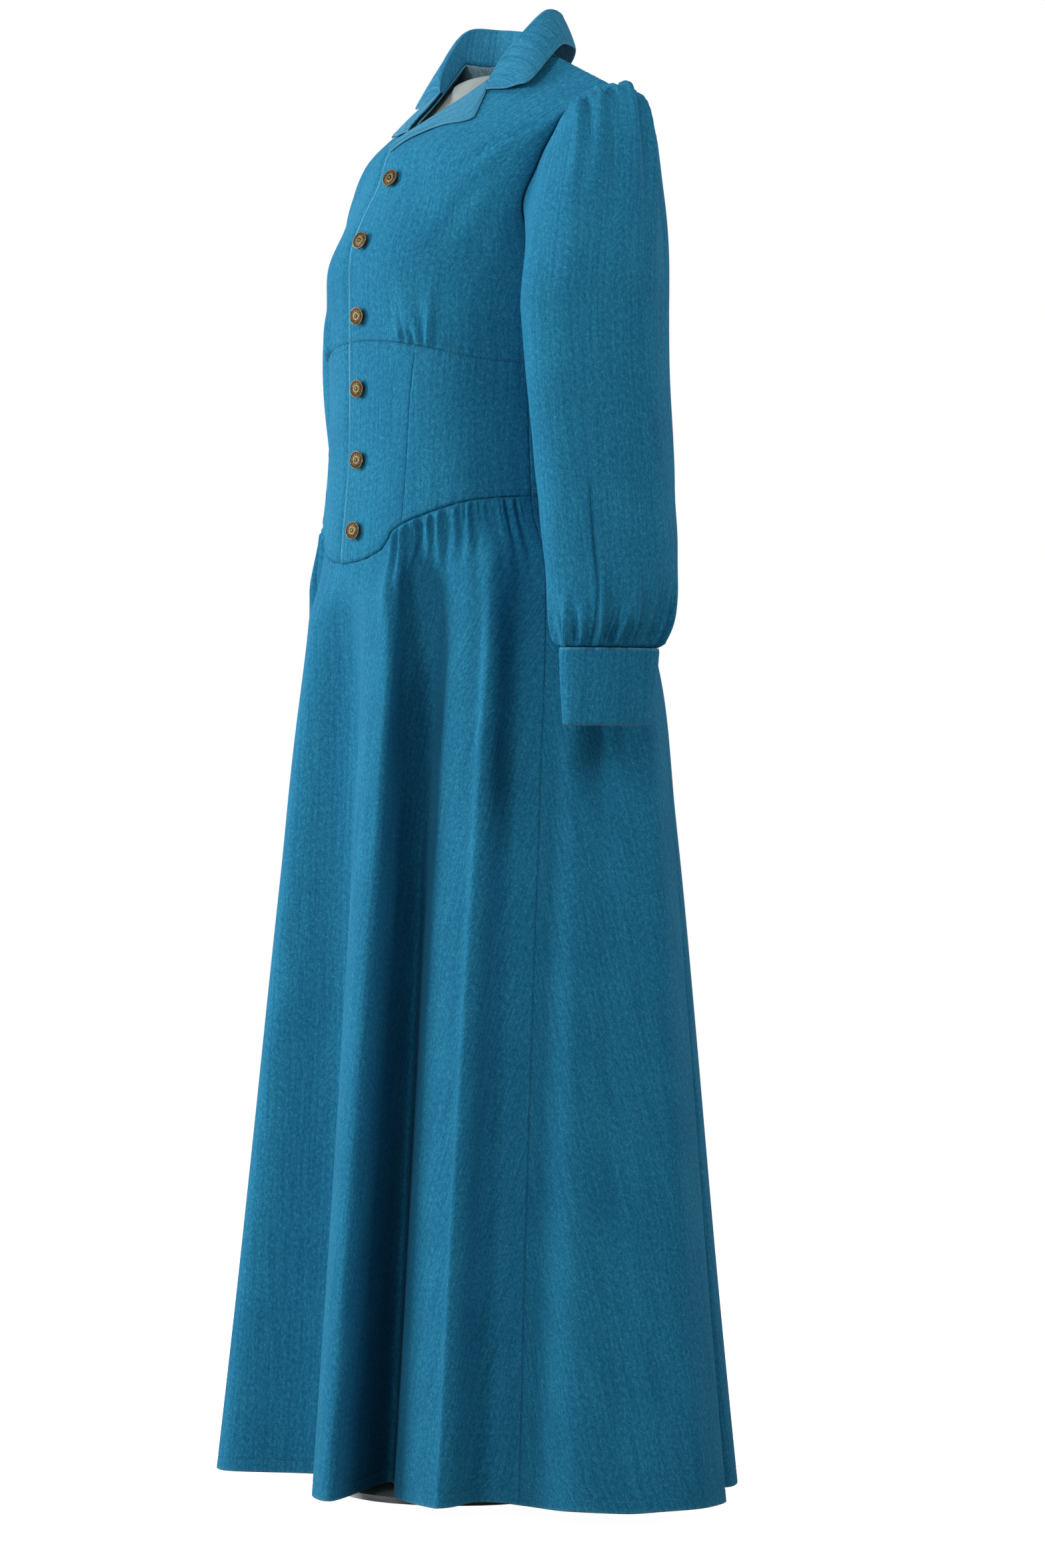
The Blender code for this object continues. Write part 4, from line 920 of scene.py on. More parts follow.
def stitch_row(path, normals):
    """Centres, directions and outward directions of the stitches along a path."""
    steps = np.linalg.norm(np.diff(path, axis=0), axis=-1)
    run = np.concatenate([[0.0], np.cumsum(steps)])
    places = np.arange(0.5 * STITCH_PITCH, run[-1], STITCH_PITCH)
    centre = np.stack([np.interp(places, run, path[:, axis]) for axis in range(3)], -1)
    ahead = np.stack([np.interp(places + 0.001, run, path[:, axis]) for axis in range(3)], -1)
    behind = np.stack([np.interp(places - 0.001, run, path[:, axis]) for axis in range(3)], -1)
    out = unit(np.stack([np.interp(places, run, normals[:, axis]) for axis in range(3)], -1))
    return centre, unit(ahead - behind), out


def stitching(name, rows):
    """One piece of thread for each stitch of the given rows."""
    centre, ahead, out = (np.concatenate(parts) for parts in zip(*rows))
    side = unit(np.cross(ahead, out))
    along = np.array([-0.5, -0.3, 0.3, 0.5]) * STITCH_LENGTH
    size = np.array([0.35, 1.0, 1.0, 0.35]) * STITCH_RADIUS
    angle = np.arange(6) * np.pi / 3.0
    ring = (
        centre[:, None, None] + along[None, :, None, None] * ahead[:, None, None]
        + (size[:, None] * np.cos(angle))[None, ..., None] * side[:, None, None]
        + (size[:, None] * np.sin(angle) * 0.8)[None, ..., None] * out[:, None, None]
    )
    count = len(centre)
    base = np.arange(24).reshape(4, 6)
    after = np.roll(base, -1, 1)
    walls = np.stack([base[:-1], after[:-1], after[1:], base[1:]], -1).reshape(-1, 4)
    caps = np.array([[0, 3, 2, 1], [0, 5, 4, 3], [18, 19, 20, 21], [18, 21, 22, 23]])
    one = np.concatenate([walls, caps])
    faces = (one[None] + 24 * np.arange(count)[:, None, None]).reshape(-1, 4)
    points = ring.reshape(-1, 3)
    uv = points[:, :2].copy()
    piece = make_mesh(name, points, faces, np.zeros(len(faces)), uv, np.zeros(len(points)), [THREAD])


def edge_stitches(grid, border, distance):
    """The stitches of a row sewn beside a border, at a distance over the cloth."""
    normals = grid_normals(grid, False)
    if border in ("bottom", "top"):
        lines, directions = np.swapaxes(grid, 0, 1), np.swapaxes(normals, 0, 1)
    else:
        lines, directions = grid, normals
    if border in ("top", "right"):
        lines, directions = lines[:, ::-1], directions[:, ::-1]
    run = lengths(lines, 1)
    path, out = [], []
    for line, direction, length in zip(lines, directions, run):
        path.append([np.interp(distance, length, line[:, axis]) for axis in range(3)])
        out.append([np.interp(distance, length, direction[:, axis]) for axis in range(3)])
    path, out = np.array(path), unit(np.array(out))
    return stitch_row(path + STITCH_RADIUS * 0.5 * out, out)


# Gathers and folds of the skirt
SKIRT_GATHER_COUNT = 92
SKIRT_FOLD_COUNT = 24
TAB_DEGREES = 24.0

# Stronger gathers beside the tab: place, half width in degrees, depth, length, lean
TAB_GATHERS = (
    (26.5, 1.0, 0.0042, 0.16, -8.0),
    (30.5, 0.9, 0.0036, 0.10, 10.0),
    (35.0, 0.9, 0.0030, 0.08, 16.0),
    (42.0, 0.8, 0.0022, 0.05, 4.0),
    (-27.0, 0.9, 0.0034, 0.12, 10.0),
    (-31.5, 0.9, 0.0040, 0.17, -4.0),
    (-37.0, 1.0, 0.0036, 0.14, -8.0),
)

# Main creases added to the skirt: place, half width in degrees, height, first, last, lean
SKIRT_FOLDS = (
    (36.5, 3.4, -0.0080, 0.0, 0.10, 2.0),
    (29.0, 2.4, 0.0030, 0.0, 0.20, 2.0),
    (57.0, 3.6, 0.0040, 0.05, 1.2, 1.0),
    (65.0, 3.4, -0.0060, 0.03, 0.9, 1.0),
    (74.0, 4.0, 0.0030, 0.06, 1.2, 0.0),
    (99.0, 5.0, 0.0070, 0.10, 1.3, 2.0),
    (109.0, 5.2, -0.0100, 0.08, 1.3, 2.0),
    (122.0, 5.0, 0.0050, 0.12, 1.3, 2.0),
    (-40.0, 3.0, -0.0050, 0.0, 0.15, -2.0),
    (-66.0, 4.0, -0.0060, 0.04, 1.0, -2.0),
    (-98.0, 5.0, 0.0060, 0.10, 1.3, 0.0),
    (-108.0, 5.0, -0.0080, 0.08, 1.3, -2.0),
    (-140.0, 5.0, -0.0060, 0.05, 1.1, 2.0),
    (148.0, 5.0, -0.0070, 0.05, 1.1, -2.0),
    (171.0, 5.0, 0.0050, 0.06, 1.2, 2.0),
)


def gather(apart):
    """A gather across its width: a rounded ridge with a narrower, deeper valley beside it."""
    return bell(apart) - 0.7 * bell((apart - 1.7) / 0.75)


def skirt_relief(degrees, down):
    """Uneven gathers below the yoke seam and soft folds that run out of them."""
    random = np.random.default_rng(SKIRT_SEED)
    relief = np.zeros(np.broadcast(degrees, down).shape)
    gathers = list(TAB_GATHERS)
    pitch = 360.0 / SKIRT_GATHER_COUNT
    for number in range(SKIRT_GATHER_COUNT):
        place = -180.0 + pitch * (number + 0.5 + random.uniform(-0.42, 0.42))
        long = random.random() < 0.22
        width = random.uniform(0.45, 0.95) + 0.4 * long
        depth = random.uniform(0.0008, 0.0022) + 0.0010 * long
        length = random.uniform(0.018, 0.050) + 0.07 * long
        lean = random.uniform(-16.0, 16.0)
        if abs(place) > TAB_DEGREES:
            gathers.append((place, width, depth, length, lean))
    for place, width, depth, length, lean in gathers:
        strength = ease(down / 0.007) * (1.0 - ease((down - 0.008) / length))
        spread = width * (1.0 + 14.0 * down)
        relief += 1.15 * depth * strength * gather((degrees - place - lean * down) / spread)
    for place, width, depth, first, last, lean in SKIRT_FOLDS:
        strength = ease(down / 0.012) if first <= 0.0 else ease((down - first) / 0.16)
        strength = strength * (1.0 - ease((down - last) / 0.35))
        relief += depth * strength * bell((degrees - place - lean * down) / width)
    pitch = 360.0 / SKIRT_FOLD_COUNT
    for number in range(SKIRT_FOLD_COUNT):
        place = -180.0 + pitch * (number + 0.5 + random.uniform(-0.4, 0.4))
        width = random.uniform(2.6, 5.0)
        depth = random.uniform(0.0006, 0.0032)
        first = random.uniform(0.03, 0.14)
        last = random.uniform(0.45, 1.15)
        lean = random.uniform(-5.0, 5.0)
        centre = place + lean * down
        strength = ease((down - 0.02) / first) * (1.0 - ease((down - 0.35) / last))
        relief += depth * strength * bell((degrees - centre) / width)
    return relief - 0.0010


def make_skirt():
    """Front and back of the skirt with their hem."""
    down = np.concatenate([
        np.linspace(0.0, 0.03, 12)[:-1], np.linspace(0.03, 0.2, 30)[:-1],
        np.linspace(0.2, 0.975, 54)[:-1], np.linspace(0.975, 1.0, 11),
    ])[::-1, None]
    rows = []
    for name, start in (("skirt_front", -90.0), ("skirt_back", 90.0)):
        degrees = start + np.linspace(0.0, 180.0, SKIRT_COLUMNS)[None, :]
        wrapped = (degrees + 180.0) % 360.0 - 180.0
        grid = skirt_point(degrees, down)
        away = border_distances(grid)
        relief = skirt_relief(wrapped, down)
        relief = relief * ease(away["left"] / SEAM_FADE)
        relief = relief * ease(away["right"] / SEAM_FADE)
        grid = pushed(grid, relief + seam_relief(grid, ("left", "right", "top"), seed=3))
        hem = border_distances(grid)["bottom"]
        grid = pushed(grid, -HEM_DIP * bell((hem - HEM_FOLD) / FOLD_WIDTH))
        wall = CLOTH + HEM_CLOTH * (1.0 - ease((hem - HEM_STITCHES) / 0.0015))
        shell(name, grid, wall=wall, worn_edges=("bottom",), sheet=("gathered", ["form_torso"]))
        rows.append(edge_stitches(grid, "bottom", HEM_STITCHES))
    stitching("stitching_hem", rows)


def sunk_under(grid, step):
    """A right panel, lowered by a step where it runs under the left one."""
    inward = ease((grid[..., 0] - 2.2 * PLACKET_EDGE) / (-PLACKET_EDGE))
    return pushed(grid, -(inward * step))


def make_midriff():
    """The five panels of the fitted midriff, with topstitching beside the seams."""
    up = np.linspace(0.0, 1.0, 48)[:, None]
    rows = []

    def panel(name, start, end, columns, seams, edges=(), step=0.0, seed=1, flip=False):
        share = np.linspace(0.0, 1.0, columns)[None, :]
        degrees = start(up) + (end(up) - start(up)) * share
        low, high = yoke_height(degrees), underbust_height(degrees)
        grid = body_point(degrees, low + (high - low) * up)
        if flip:
            grid = mirrored(grid)
        if step:
            grid = sunk_under(grid, step)
        random = np.random.default_rng(seed)
        relief = seam_relief(grid, seams, seed)
        for _ in range(5):
            height = random.uniform(0.1, 0.9)
            tilt = random.uniform(-0.12, 0.12)
            wave = bell((up - height - tilt * share) / 0.06)
            relief += random.uniform(-0.0006, 0.0006) * wave * np.sin(np.pi * share)
        grid = pushed(grid, relief)
        shell(name, grid, worn_edges=edges, sheet=("stretched", ["form_torso"]))
        return grid

    def ninety(level):
        return np.full_like(level, SIDE_SEAM_DEGREES)

    def far_side(level):
        return np.full_like(level, 360.0 - SIDE_SEAM_DEGREES)

    left = panel("midriff_center_left", edge_degrees(PLACKET_EDGE), princess_degrees, CENTRE_PANEL_COLUMNS,
                 ("right", "bottom", "top"), edges=("left",), seed=21)
    right = panel("midriff_center_right", edge_degrees(-UNDERLAP_EDGE), princess_degrees,
                  CENTRE_PANEL_COLUMNS, ("left", "bottom", "top"), step=UNDERLAP_STEP, seed=22, flip=True)
    sides = panel("midriff_side_left", princess_degrees, ninety, SIDE_PANEL_COLUMNS,
                  ALL_BORDERS, seed=23)
    others = panel("midriff_side_right", princess_degrees, ninety, SIDE_PANEL_COLUMNS,
                   ALL_BORDERS, seed=24, flip=True)
    back = panel("midriff_back", ninety, far_side, BACK_PANEL_COLUMNS, ALL_BORDERS, seed=25)
    rows.append(edge_stitches(left, "left", PLACKET_STITCHES))
    for grid in (left, right, sides, others, back):
        rows.append(edge_stitches(grid, "bottom", YOKE_STITCHES))
        rows.append(edge_stitches(grid, "top", WAIST_STITCHES))
    stitching("stitching_midriff", rows)


# Gathers above the underbust seam: distance across, half width, height, length, lean
FRONT_GATHERS = (
    (0.0660, 0.0034, 0.0016, 0.026, -0.20),
    (0.0745, 0.0026, 0.0044, 0.044, -0.16),
    (0.0845, 0.0025, 0.0052, 0.050, -0.16),
    (0.0955, 0.0036, 0.0046, 0.066, -0.30),
    (0.1025, 0.0023, 0.0050, 0.074, 0.03),
    (0.1130, 0.0036, 0.0014, 0.030, 0.10),
)

# Soft creases of the bodice's front: distance across, height, half width, length, lean, depth
FRONT_CREASES = (
    (0.118, 1.270, 0.010, 0.040, 0.50, 0.0022),
    (0.134, 1.240, 0.008, 0.045, 0.25, 0.0020),
    (0.060, 1.300, 0.014, 0.040, -0.60, 0.0016),
    (0.128, 1.330, 0.007, 0.030, 0.90, 0.0014),
)

# The same for the back
BACK_CREASES = (
    (0.100, 1.220, 0.012, 0.050, 0.35, 0.0022),
    (-0.095, 1.230, 0.013, 0.055, -0.35, 0.0022),
    (0.020, 1.190, 0.020, 0.030, 0.10, 0.0012),
    (-0.130, 1.300, 0.010, 0.050, 0.20, 0.0018),
    (0.135, 1.310, 0.010, 0.050, -0.20, 0.0018),
)


def bodice_creases(grid):
    """Soft troughs and ridges of the bodice fronts."""
    relief = np.zeros(grid.shape[:2])
    across, height = np.abs(grid[..., 0]), grid[..., 2]
    above = height - underbust_height(degrees_at(grid[..., 0], BODY[4][1], BODY[4][5]))
    for place, width, rise, length, lean in FRONT_GATHERS:
        narrow = width * (1.0 + 22.0 * np.clip(above, 0.0, 0.1))
        bend = place + lean * np.clip(above, 0.0, 0.1)
        shape = bell((across - bend) / narrow)
        relief += rise * shape * ease(above / 0.004) * (1.0 - ease((above - 0.004) / length))
    for place, level, width, length, lean, depth in FRONT_CREASES:
        along = (height - level) / length
        off = (across - place - lean * (height - level)) / width
        relief -= depth * np.exp(-(off**2) - along**2)
    return relief


def make_bodice():
    """Both fronts and the back, with the facing edges and topstitching."""
    up = np.concatenate([np.linspace(0.0, 1.2, 36)[:-1], np.linspace(1.2, 8.0, 64)])[:, None]
    share = np.linspace(0.0, 1.0, BODICE_FRONT_COLUMNS)[None, :]
    rows, fronts = [], {}
    for side, edge_x in (("left", None), ("right", -UNDERLAP_EDGE)):
        start = front_edge_degrees(up, edge_x)
        grid = bodice_front_point(start + (90.0 - start) * share, up + 0 * share)
        if side == "right":
            grid = mirrored(grid)
            step = UNDERLAP_STEP + BREAK_STEP * ease((grid[..., 2] - BREAK_HEIGHT) / 0.02)
            grid = sunk_under(grid, step)
        seams = ("right" if side == "left" else "left", "bottom", "top")
        relief = bodice_creases(grid) + seam_relief(grid, seams, seed=5)
        grid = pushed(grid, relief)
        name = "bodice_front_" + side
        edge = "left" if side == "left" else "right"
        shell(name, grid, worn_edges=(edge,), sheet=("stretched", ["form_torso"]))
        fronts[side] = grid
        rows.append(edge_stitches(grid, "bottom", UNDERBUST_STITCHES))
    below_break = fronts["left"][:104]
    rows.append(edge_stitches(below_break, "left", PLACKET_STITCHES))
    degrees = np.linspace(90.0, -90.0, BODICE_BACK_COLUMNS)[None, :]
    back = bodice_back_point(degrees + 0 * up, up + 0 * degrees)
    relief = seam_relief(back, ALL_BORDERS, seed=6)
    across, height = back[..., 0], back[..., 2]
    for place, level, width, length, lean, depth in BACK_CREASES:
        off = (across - place - lean * (height - level)) / width
        relief -= depth * np.exp(-(off**2) - ((height - level) / length) ** 2)
    back = pushed(back, relief)
    shell("bodice_back", back, sheet=("stretched", ["form_torso"]))
    rows.append(edge_stitches(back, "bottom", UNDERBUST_STITCHES))
    stitching("stitching_bodice", rows)


# Gathers of the sleeve: turn round the sleeve, half width, height, length down the cap, lean
CAP_GATHERS = (
    (0.398, 0.0060, 0.0030, 0.34, -0.06),
    (0.416, 0.0050, 0.0048, 0.70, -0.07),
    (0.436, 0.0045, 0.0040, 0.40, -0.03),
    (0.455, 0.0055, 0.0056, 0.85, -0.04),
    (0.481, 0.0060, 0.0034, 0.45, 0.00),
    (0.505, 0.0050, 0.0056, 0.80, 0.02),
    (0.527, 0.0045, 0.0040, 0.50, 0.05),
    (0.551, 0.0060, 0.0058, 0.95, 0.06),
    (0.583, 0.0055, 0.0042, 0.60, 0.07),
    (0.612, 0.0055, 0.0046, 0.50, 0.08),
    (0.645, 0.0060, 0.0030, 0.40, 0.08),
)
CUFF_GATHER_COUNT = 16
SLIT_TURN = 0.405


def sleeve_relief(turn, down, seed):
    """Gathers in the cap and above the cuff, long soft folds and the slit above the cuff."""
    relief = np.zeros(np.broadcast(turn, down).shape)
    for place, width, height, length, lean in CAP_GATHERS:
        spread = width * (1.0 + 4.5 * np.clip(down, 0, 1))
        centre = place + lean * down
        strength = ease(down / 0.03) * (1.0 - ease((down - 0.03) / length))
        relief += 1.25 * height * strength * gather((turn - centre) / spread)
    random = np.random.default_rng(seed)
    for number in range(CUFF_GATHER_COUNT):
        place = (number + 0.5 + random.uniform(-0.36, 0.36)) / CUFF_GATHER_COUNT
        width = random.uniform(0.0060, 0.0130)
        height = random.uniform(0.0034, 0.0072)
        length = random.uniform(0.12, 0.36)
        lean = random.uniform(-0.16, 0.16)
        up = 2.0 - down
        apart = (turn - place - lean * up + 0.5) % 1.0 - 0.5
        strength = ease(up / 0.02) * (1.0 - ease((up - 0.03) / length))
        turned = 1.0 if random.random() < 0.5 else -1.0
        relief += 1.1 * height * strength * gather(turned * apart / (width * (1.0 + 6.0 * up)))
    for _ in range(11):
        place, lean = random.uniform(0.0, 1.0), random.uniform(-0.12, 0.12)
        first, last = random.uniform(0.5, 1.2), random.uniform(0.35, 0.8)
        apart = (turn - place - lean * (down - first) + 0.5) % 1.0 - 0.5
        width = random.uniform(0.022, 0.045)
        depth = random.uniform(-0.0058, 0.0046)
        relief += depth * np.exp(-((apart / width) ** 2) - ((down - first) / last) ** 2)
    slit_up = 2.0 - down
    apart = (turn - SLIT_TURN + 0.5) % 1.0 - 0.5
    run = ease(slit_up / 0.02) * (1.0 - ease((slit_up - 0.42) / 0.12))
    relief += run * (0.0026 * ease((apart + 0.0015) / 0.003) * bell(apart / 0.02) - 0.0010)
    relief -= run * 0.0036 * bell((apart + 0.0045) / 0.0048)
    return relief


def make_sleeves():
    """Both sleeves and their cuffs."""
    turn = (np.arange(SLEEVE_COLUMNS) / SLEEVE_COLUMNS)[None, :]
    down = np.concatenate([
        np.linspace(0.0, 0.5, 44)[:-1], np.linspace(0.5, 1.6, 36)[:-1], np.linspace(1.6, 2.0, 38),
    ])[::-1, None]
    angle = 2.0 * np.pi * turn
    rings = np.array(CUFF_RINGS)
    for side, swing in SLEEVE_SWING.items():
        grid = sleeve_point(turn, down, swing)
        relief = sleeve_relief(turn, down, SLEEVE_SEEDS[side])
        away = border_distances(grid)
        relief -= SEAM_DIP * (
            bell(away["bottom"] / GATHER_SEAM_WIDTH) + bell(away["top"] / GATHER_SEAM_WIDTH)
        )
        fade = ease(away["top"] / 0.006)
        grid = pushed(grid, relief * fade, closed=True)
        if side == "right":
            grid = mirrored(grid)
        name = "sleeve_" + side
        shell(name, grid, closed=True, sheet=("hung", ["bodice_front_" + side]))

        share = np.linspace(0.0, 1.0, 27)[:, None]
        section = rings[1] + (rings[0] - rings[1]) * share
        band = np.stack([
            section[:, 1:2] - section[:, 3:4] * np.cos(angle),
            section[:, 2:3] - section[:, 4:5] * np.sin(angle),
            section[:, :1] + 0 * angle,
        ], -1) + np.array([*swing, 0.0])
        lap = 0.0016 * ease((turn - 0.53) / 0.09) * (1.0 - ease((turn - 0.655) / 0.004))
        bow = 0.0010 * np.sin(np.pi * share) + 0.0005 * np.sin(angle * 3 + 1.0) * np.sin(np.pi * share)
        height = share * (CUFF_TOP - CUFF_BOTTOM)
        roll = -CUFF_EDGE_DIP * bell(height / FOLD_WIDTH)
        roll = roll - CUFF_EDGE_DIP * bell((CUFF_TOP - CUFF_BOTTOM - height) / FOLD_WIDTH)
        band = pushed(band, lap + bow + roll, closed=True)
        if side == "right":
            band = mirrored(band)
        name = "cuff_" + side
        wear = bell((CUFF_TOP - CUFF_BOTTOM - height) / CUFF_WEAR_WIDTH) + 0 * turn
        wear = np.maximum(wear, bell(height / CUFF_WEAR_WIDTH))
        shell(name, band, wall=CUFF_CLOTH, closed=True, wear=CUFF_WEAR * wear,
              sheet=("stretched", ["sleeve_" + side]))


def bodice_field():
    """A tree of points and outward directions over the bodice, for what lies on it."""
    up = np.linspace(4.6, SHOULDER_ROW, 120)[:, None]
    points, normals = [], []
    for function, degrees in (
        (bodice_front_point, np.linspace(-8.0, 90.0, 140)), (bodice_back_point, np.linspace(90.0, 0.0, 140)),
    ):
        grid = function(degrees[None, :] + 0 * up, up + 0 * degrees)
        for half in (grid, mirrored(grid)):
            points.append(half.reshape(-1, 3))
            normals.append(grid_normals(half, False).reshape(-1, 3))
    points, normals = np.concatenate(points), np.concatenate(normals)
    tree = KDTree(len(points))
    for number, point in enumerate(points):
        tree.insert(point, number)
    tree.balance()
    return tree, points, normals


def laid_on(points, field, lift, smooth, press=False, weight=1.0):
    """The points lifted over the bodice to at least, or with press to just, the given height."""
    tree, surface, normals = field
    flat = points.reshape(-1, 3)
    nearest = np.array([tree.find(point)[1] for point in flat])
    height = ((flat - surface[nearest]) * normals[nearest]).sum(-1)
    move = np.broadcast_to(lift, points.shape[:-1]).reshape(-1) - height
    if not press:
        move = np.maximum(move, 0.0)
    move = move * np.broadcast_to(weight, points.shape[:-1]).reshape(-1)
    shift = (move[:, None] * normals[nearest]).reshape(points.shape)
    for _ in range(smooth):
        wide = np.pad(shift, ((1, 1), (1, 1), (0, 0)), "edge")
        shift = (2.0 * shift + wide[2:, 1:-1] + wide[:-2, 1:-1] + wide[1:-1, 2:] + wide[1:-1, :-2]) / 6.0
    return points + shift


def neckline(along):
    """The left neckline from the gorge, at 0, past the shoulder seam, at 3, to the back centre, at 5."""
    up = np.linspace(COLLAR_START, SHOULDER_ROW, 60)
    front = bodice_front_point(front_edge_degrees(up[:, None]), up[:, None])[:, 0]
    corner = float(degrees_at(NECK_HALF_WIDTH, SHOULDER_TIP[0], 2.0))
    degrees = np.linspace(corner, 0.0, 60)
    back = bodice_back_point(degrees, np.full_like(degrees, float(SHOULDER_ROW)))
    points = []
    for part, place in ((front, np.clip(along / 3.0, 0, 1)), (back, np.clip((along - 3.0) / 2.0, 0, 1))):
        run = lengths(part[None], 1)[0]
        points.append(np.stack([np.interp(place * run[-1], run, part[:, axis]) for axis in range(3)], -1))
    return np.where((along < 3.0)[:, None], points[0], points[1])


def make_collar(field):
    """The notched collar with its stand, roll and fall."""
    half = np.array(COLLAR_STATIONS)
    other = half[-2::-1] * np.array([-1.0, 1.0, 1.0] * 3)
    stations = np.concatenate([half, other])
    along = np.linspace(0.0, len(stations) - 1.0, COLLAR_COLUMNS)
    marks = interpolate(np.arange(len(stations)), stations, along).reshape(-1, 3, 3)
    seam, fold, edge = marks[:, 0], marks[:, 1], marks[:, 2]
    last = len(stations) - 1.0
    seam = neckline(np.minimum(along, last - along)) + np.array([0.0, 0.0, 0.0006])
    seam[along > last / 2] *= MIRROR
    outward = unit(np.stack([edge[:, 0] - seam[:, 0], edge[:, 1] - seam[:, 1], 0 * along], -1))
    closed = (1.0 - ease(np.minimum(along, last - along) / END_LENGTH))[:, None]
    fold = fold - END_FOLD_DROP * closed * UP
    edge = edge - END_EDGE_DROP * closed * UP
    top = fold - 0.0008 * UP
    fall = fold + (COLLAR_ROLL - (COLLAR_ROLL - END_ROLL) * closed) * outward - 0.0014 * UP
    rows = [seam + (top - seam) * share for share in np.linspace(0.0, 1.0, 9)]
    for angle in np.linspace(0.0, np.pi, 11)[1:-1]:
        share = 0.5 - 0.5 * math.cos(angle)
        rows.append(top + (fall - top) * share + ROLL_RISE * math.sin(angle) * UP)
    fall_shares = np.linspace(0.0, 1.0, FALL_ROWS)
    for share in fall_shares:
        rows.append(fall + (edge - fall) * share + FALL_BOW * math.sin(math.pi * share) * outward)
    grid = np.stack(rows[::-1])
    weight = ease((np.concatenate([fall_shares[::-1], np.zeros(len(rows) - FALL_ROWS)]) - 0.15) / 0.3)
    grid = laid_on(grid, field, FALL_LIFT, weight=weight[:, None], smooth=24)
    away = border_distances(grid)
    nearest = np.minimum(np.minimum(away["bottom"], away["left"]), away["right"])
    relief = -COLLAR_EDGE_DIP * bell(nearest / FOLD_WIDTH)
    relief -= STITCH_DIP * bell((nearest - LAPEL_STITCHES) / STITCH_DIP_WIDTH)
    grid = pushed(grid, relief)
    wear = np.maximum(COLLAR_WEAR, bell(nearest / COLLAR_WEAR_WIDTH))
    shell("collar", grid, wall=COLLAR_CLOTH, wear=wear, sheet=("folded", ["bodice_back"]))
    return [edge_stitches(grid[:34], "bottom", LAPEL_STITCHES)]


def make_lapels(field):
    """The turned-back lapels on the fronts."""
    table = np.array(LAPEL_STATIONS)
    rows = []
    for side, first in LAPEL_STARTS.items():
        along = np.linspace(first, 1.0, 70)
        outer = interpolate(table[:, 0], table[:, 1:], along)
        tip, end = np.array(LAPEL_TIP), np.array(LAPEL_END)
        outer += (tip - table[3, 1:]) * ease(along / LAPEL_TIP_PLACE)[:, None]
        beyond = np.clip((along - LAPEL_TIP_PLACE) / (1.0 - LAPEL_TIP_PLACE), 0, 1)[:, None]
        outer = np.where(beyond > 0.0, tip + (end - tip) * beyond, outer)
        up = (LAPEL_BREAK + (COLLAR_START - LAPEL_BREAK) * along)[:, None]
        roll = bodice_front_point(front_edge_degrees(up), up)[:, 0]
        if first > 0.0:
            start = ease((along - first) / 0.10)[:, None]
            outer = roll + (0.2 + 0.8 * start) * (outer - roll)
        across = np.linspace(0.0, 1.0, 34)[None, :, None]
        grid = roll[:, None] + (outer - roll)[:, None] * across
        over = across[..., 0]
        lift = LAPEL_LIFT + LAPEL_ROLL_LIFT * (1.0 - over) ** 3 + LAPEL_BOW * np.sin(np.pi * over)
        grid = laid_on(grid, field, lift, press=True, smooth=2)
        away = border_distances(grid)
        nearest = np.minimum(away["right"], away["top"])
        grid = pushed(grid, -LAPEL_EDGE_DIP * bell(nearest / FOLD_WIDTH))
        if side == "right":
            grid = mirrored(grid)
        name = "lapel_" + side
        edge = "right" if side == "left" else "left"
        wear = np.full(grid.shape[:2], LAPEL_WEAR)
        shell(name, grid, wall=LAPEL_CLOTH, wear=wear, worn_edges=(edge, "top"),
              sheet=("folded", ["bodice_front_" + side]))
        rows.append(edge_stitches(grid, edge, LAPEL_STITCHES))
    return rows


# Brightness of the brass
RAISED_BRASS = 0.9
SUNK_BRASS = 0.12
ROPE_BRASS = 0.95

# The buttons' rope rim: count, size, share of the radius, height
ROPE = (44, 0.00062, 0.945, 0.0062)

# Button relief: radius, count and size of the raised dots in each ring
BUTTON_DOTS = ((0.0066, 22, 0.00062), (0.0048, 12, 0.00078), (0.0030, 8, 0.00062))


def ball(radius, centre, squash=0.8, rings=6, sides=10):
    """Points and faces of a small dome."""
    points, faces = [], []
    for ring in range(rings + 1):
        tilt = math.pi * ring / rings
        for side in range(sides):
            turn = 2.0 * math.pi * side / sides
            points.append((
                centre[0] + radius * math.sin(tilt) * math.cos(turn),
                centre[1] + radius * math.sin(tilt) * math.sin(turn),
                centre[2] + radius * squash * math.cos(tilt),
            ))
    for ring in range(rings):
        for side in range(sides):
            after = (side + 1) % sides
            a, b = ring * sides + side, ring * sides + after
            faces.append((a, a + sides, b + sides, b))
    return points, faces


def lathe(profile, sides):
    """Points and faces of a turned shape about +Z."""
    points, faces = [], []
    for radius, height in profile:
        for side in range(sides):
            turn = 2.0 * math.pi * side / sides
            points.append((radius * math.cos(turn), radius * math.sin(turn), height))
    for ring in range(len(profile) - 1):
        for side in range(sides):
            after = (side + 1) % sides
            a, b = ring * sides + side, ring * sides + after
            faces.append((a, b, b + sides, a + sides))
    return points, faces


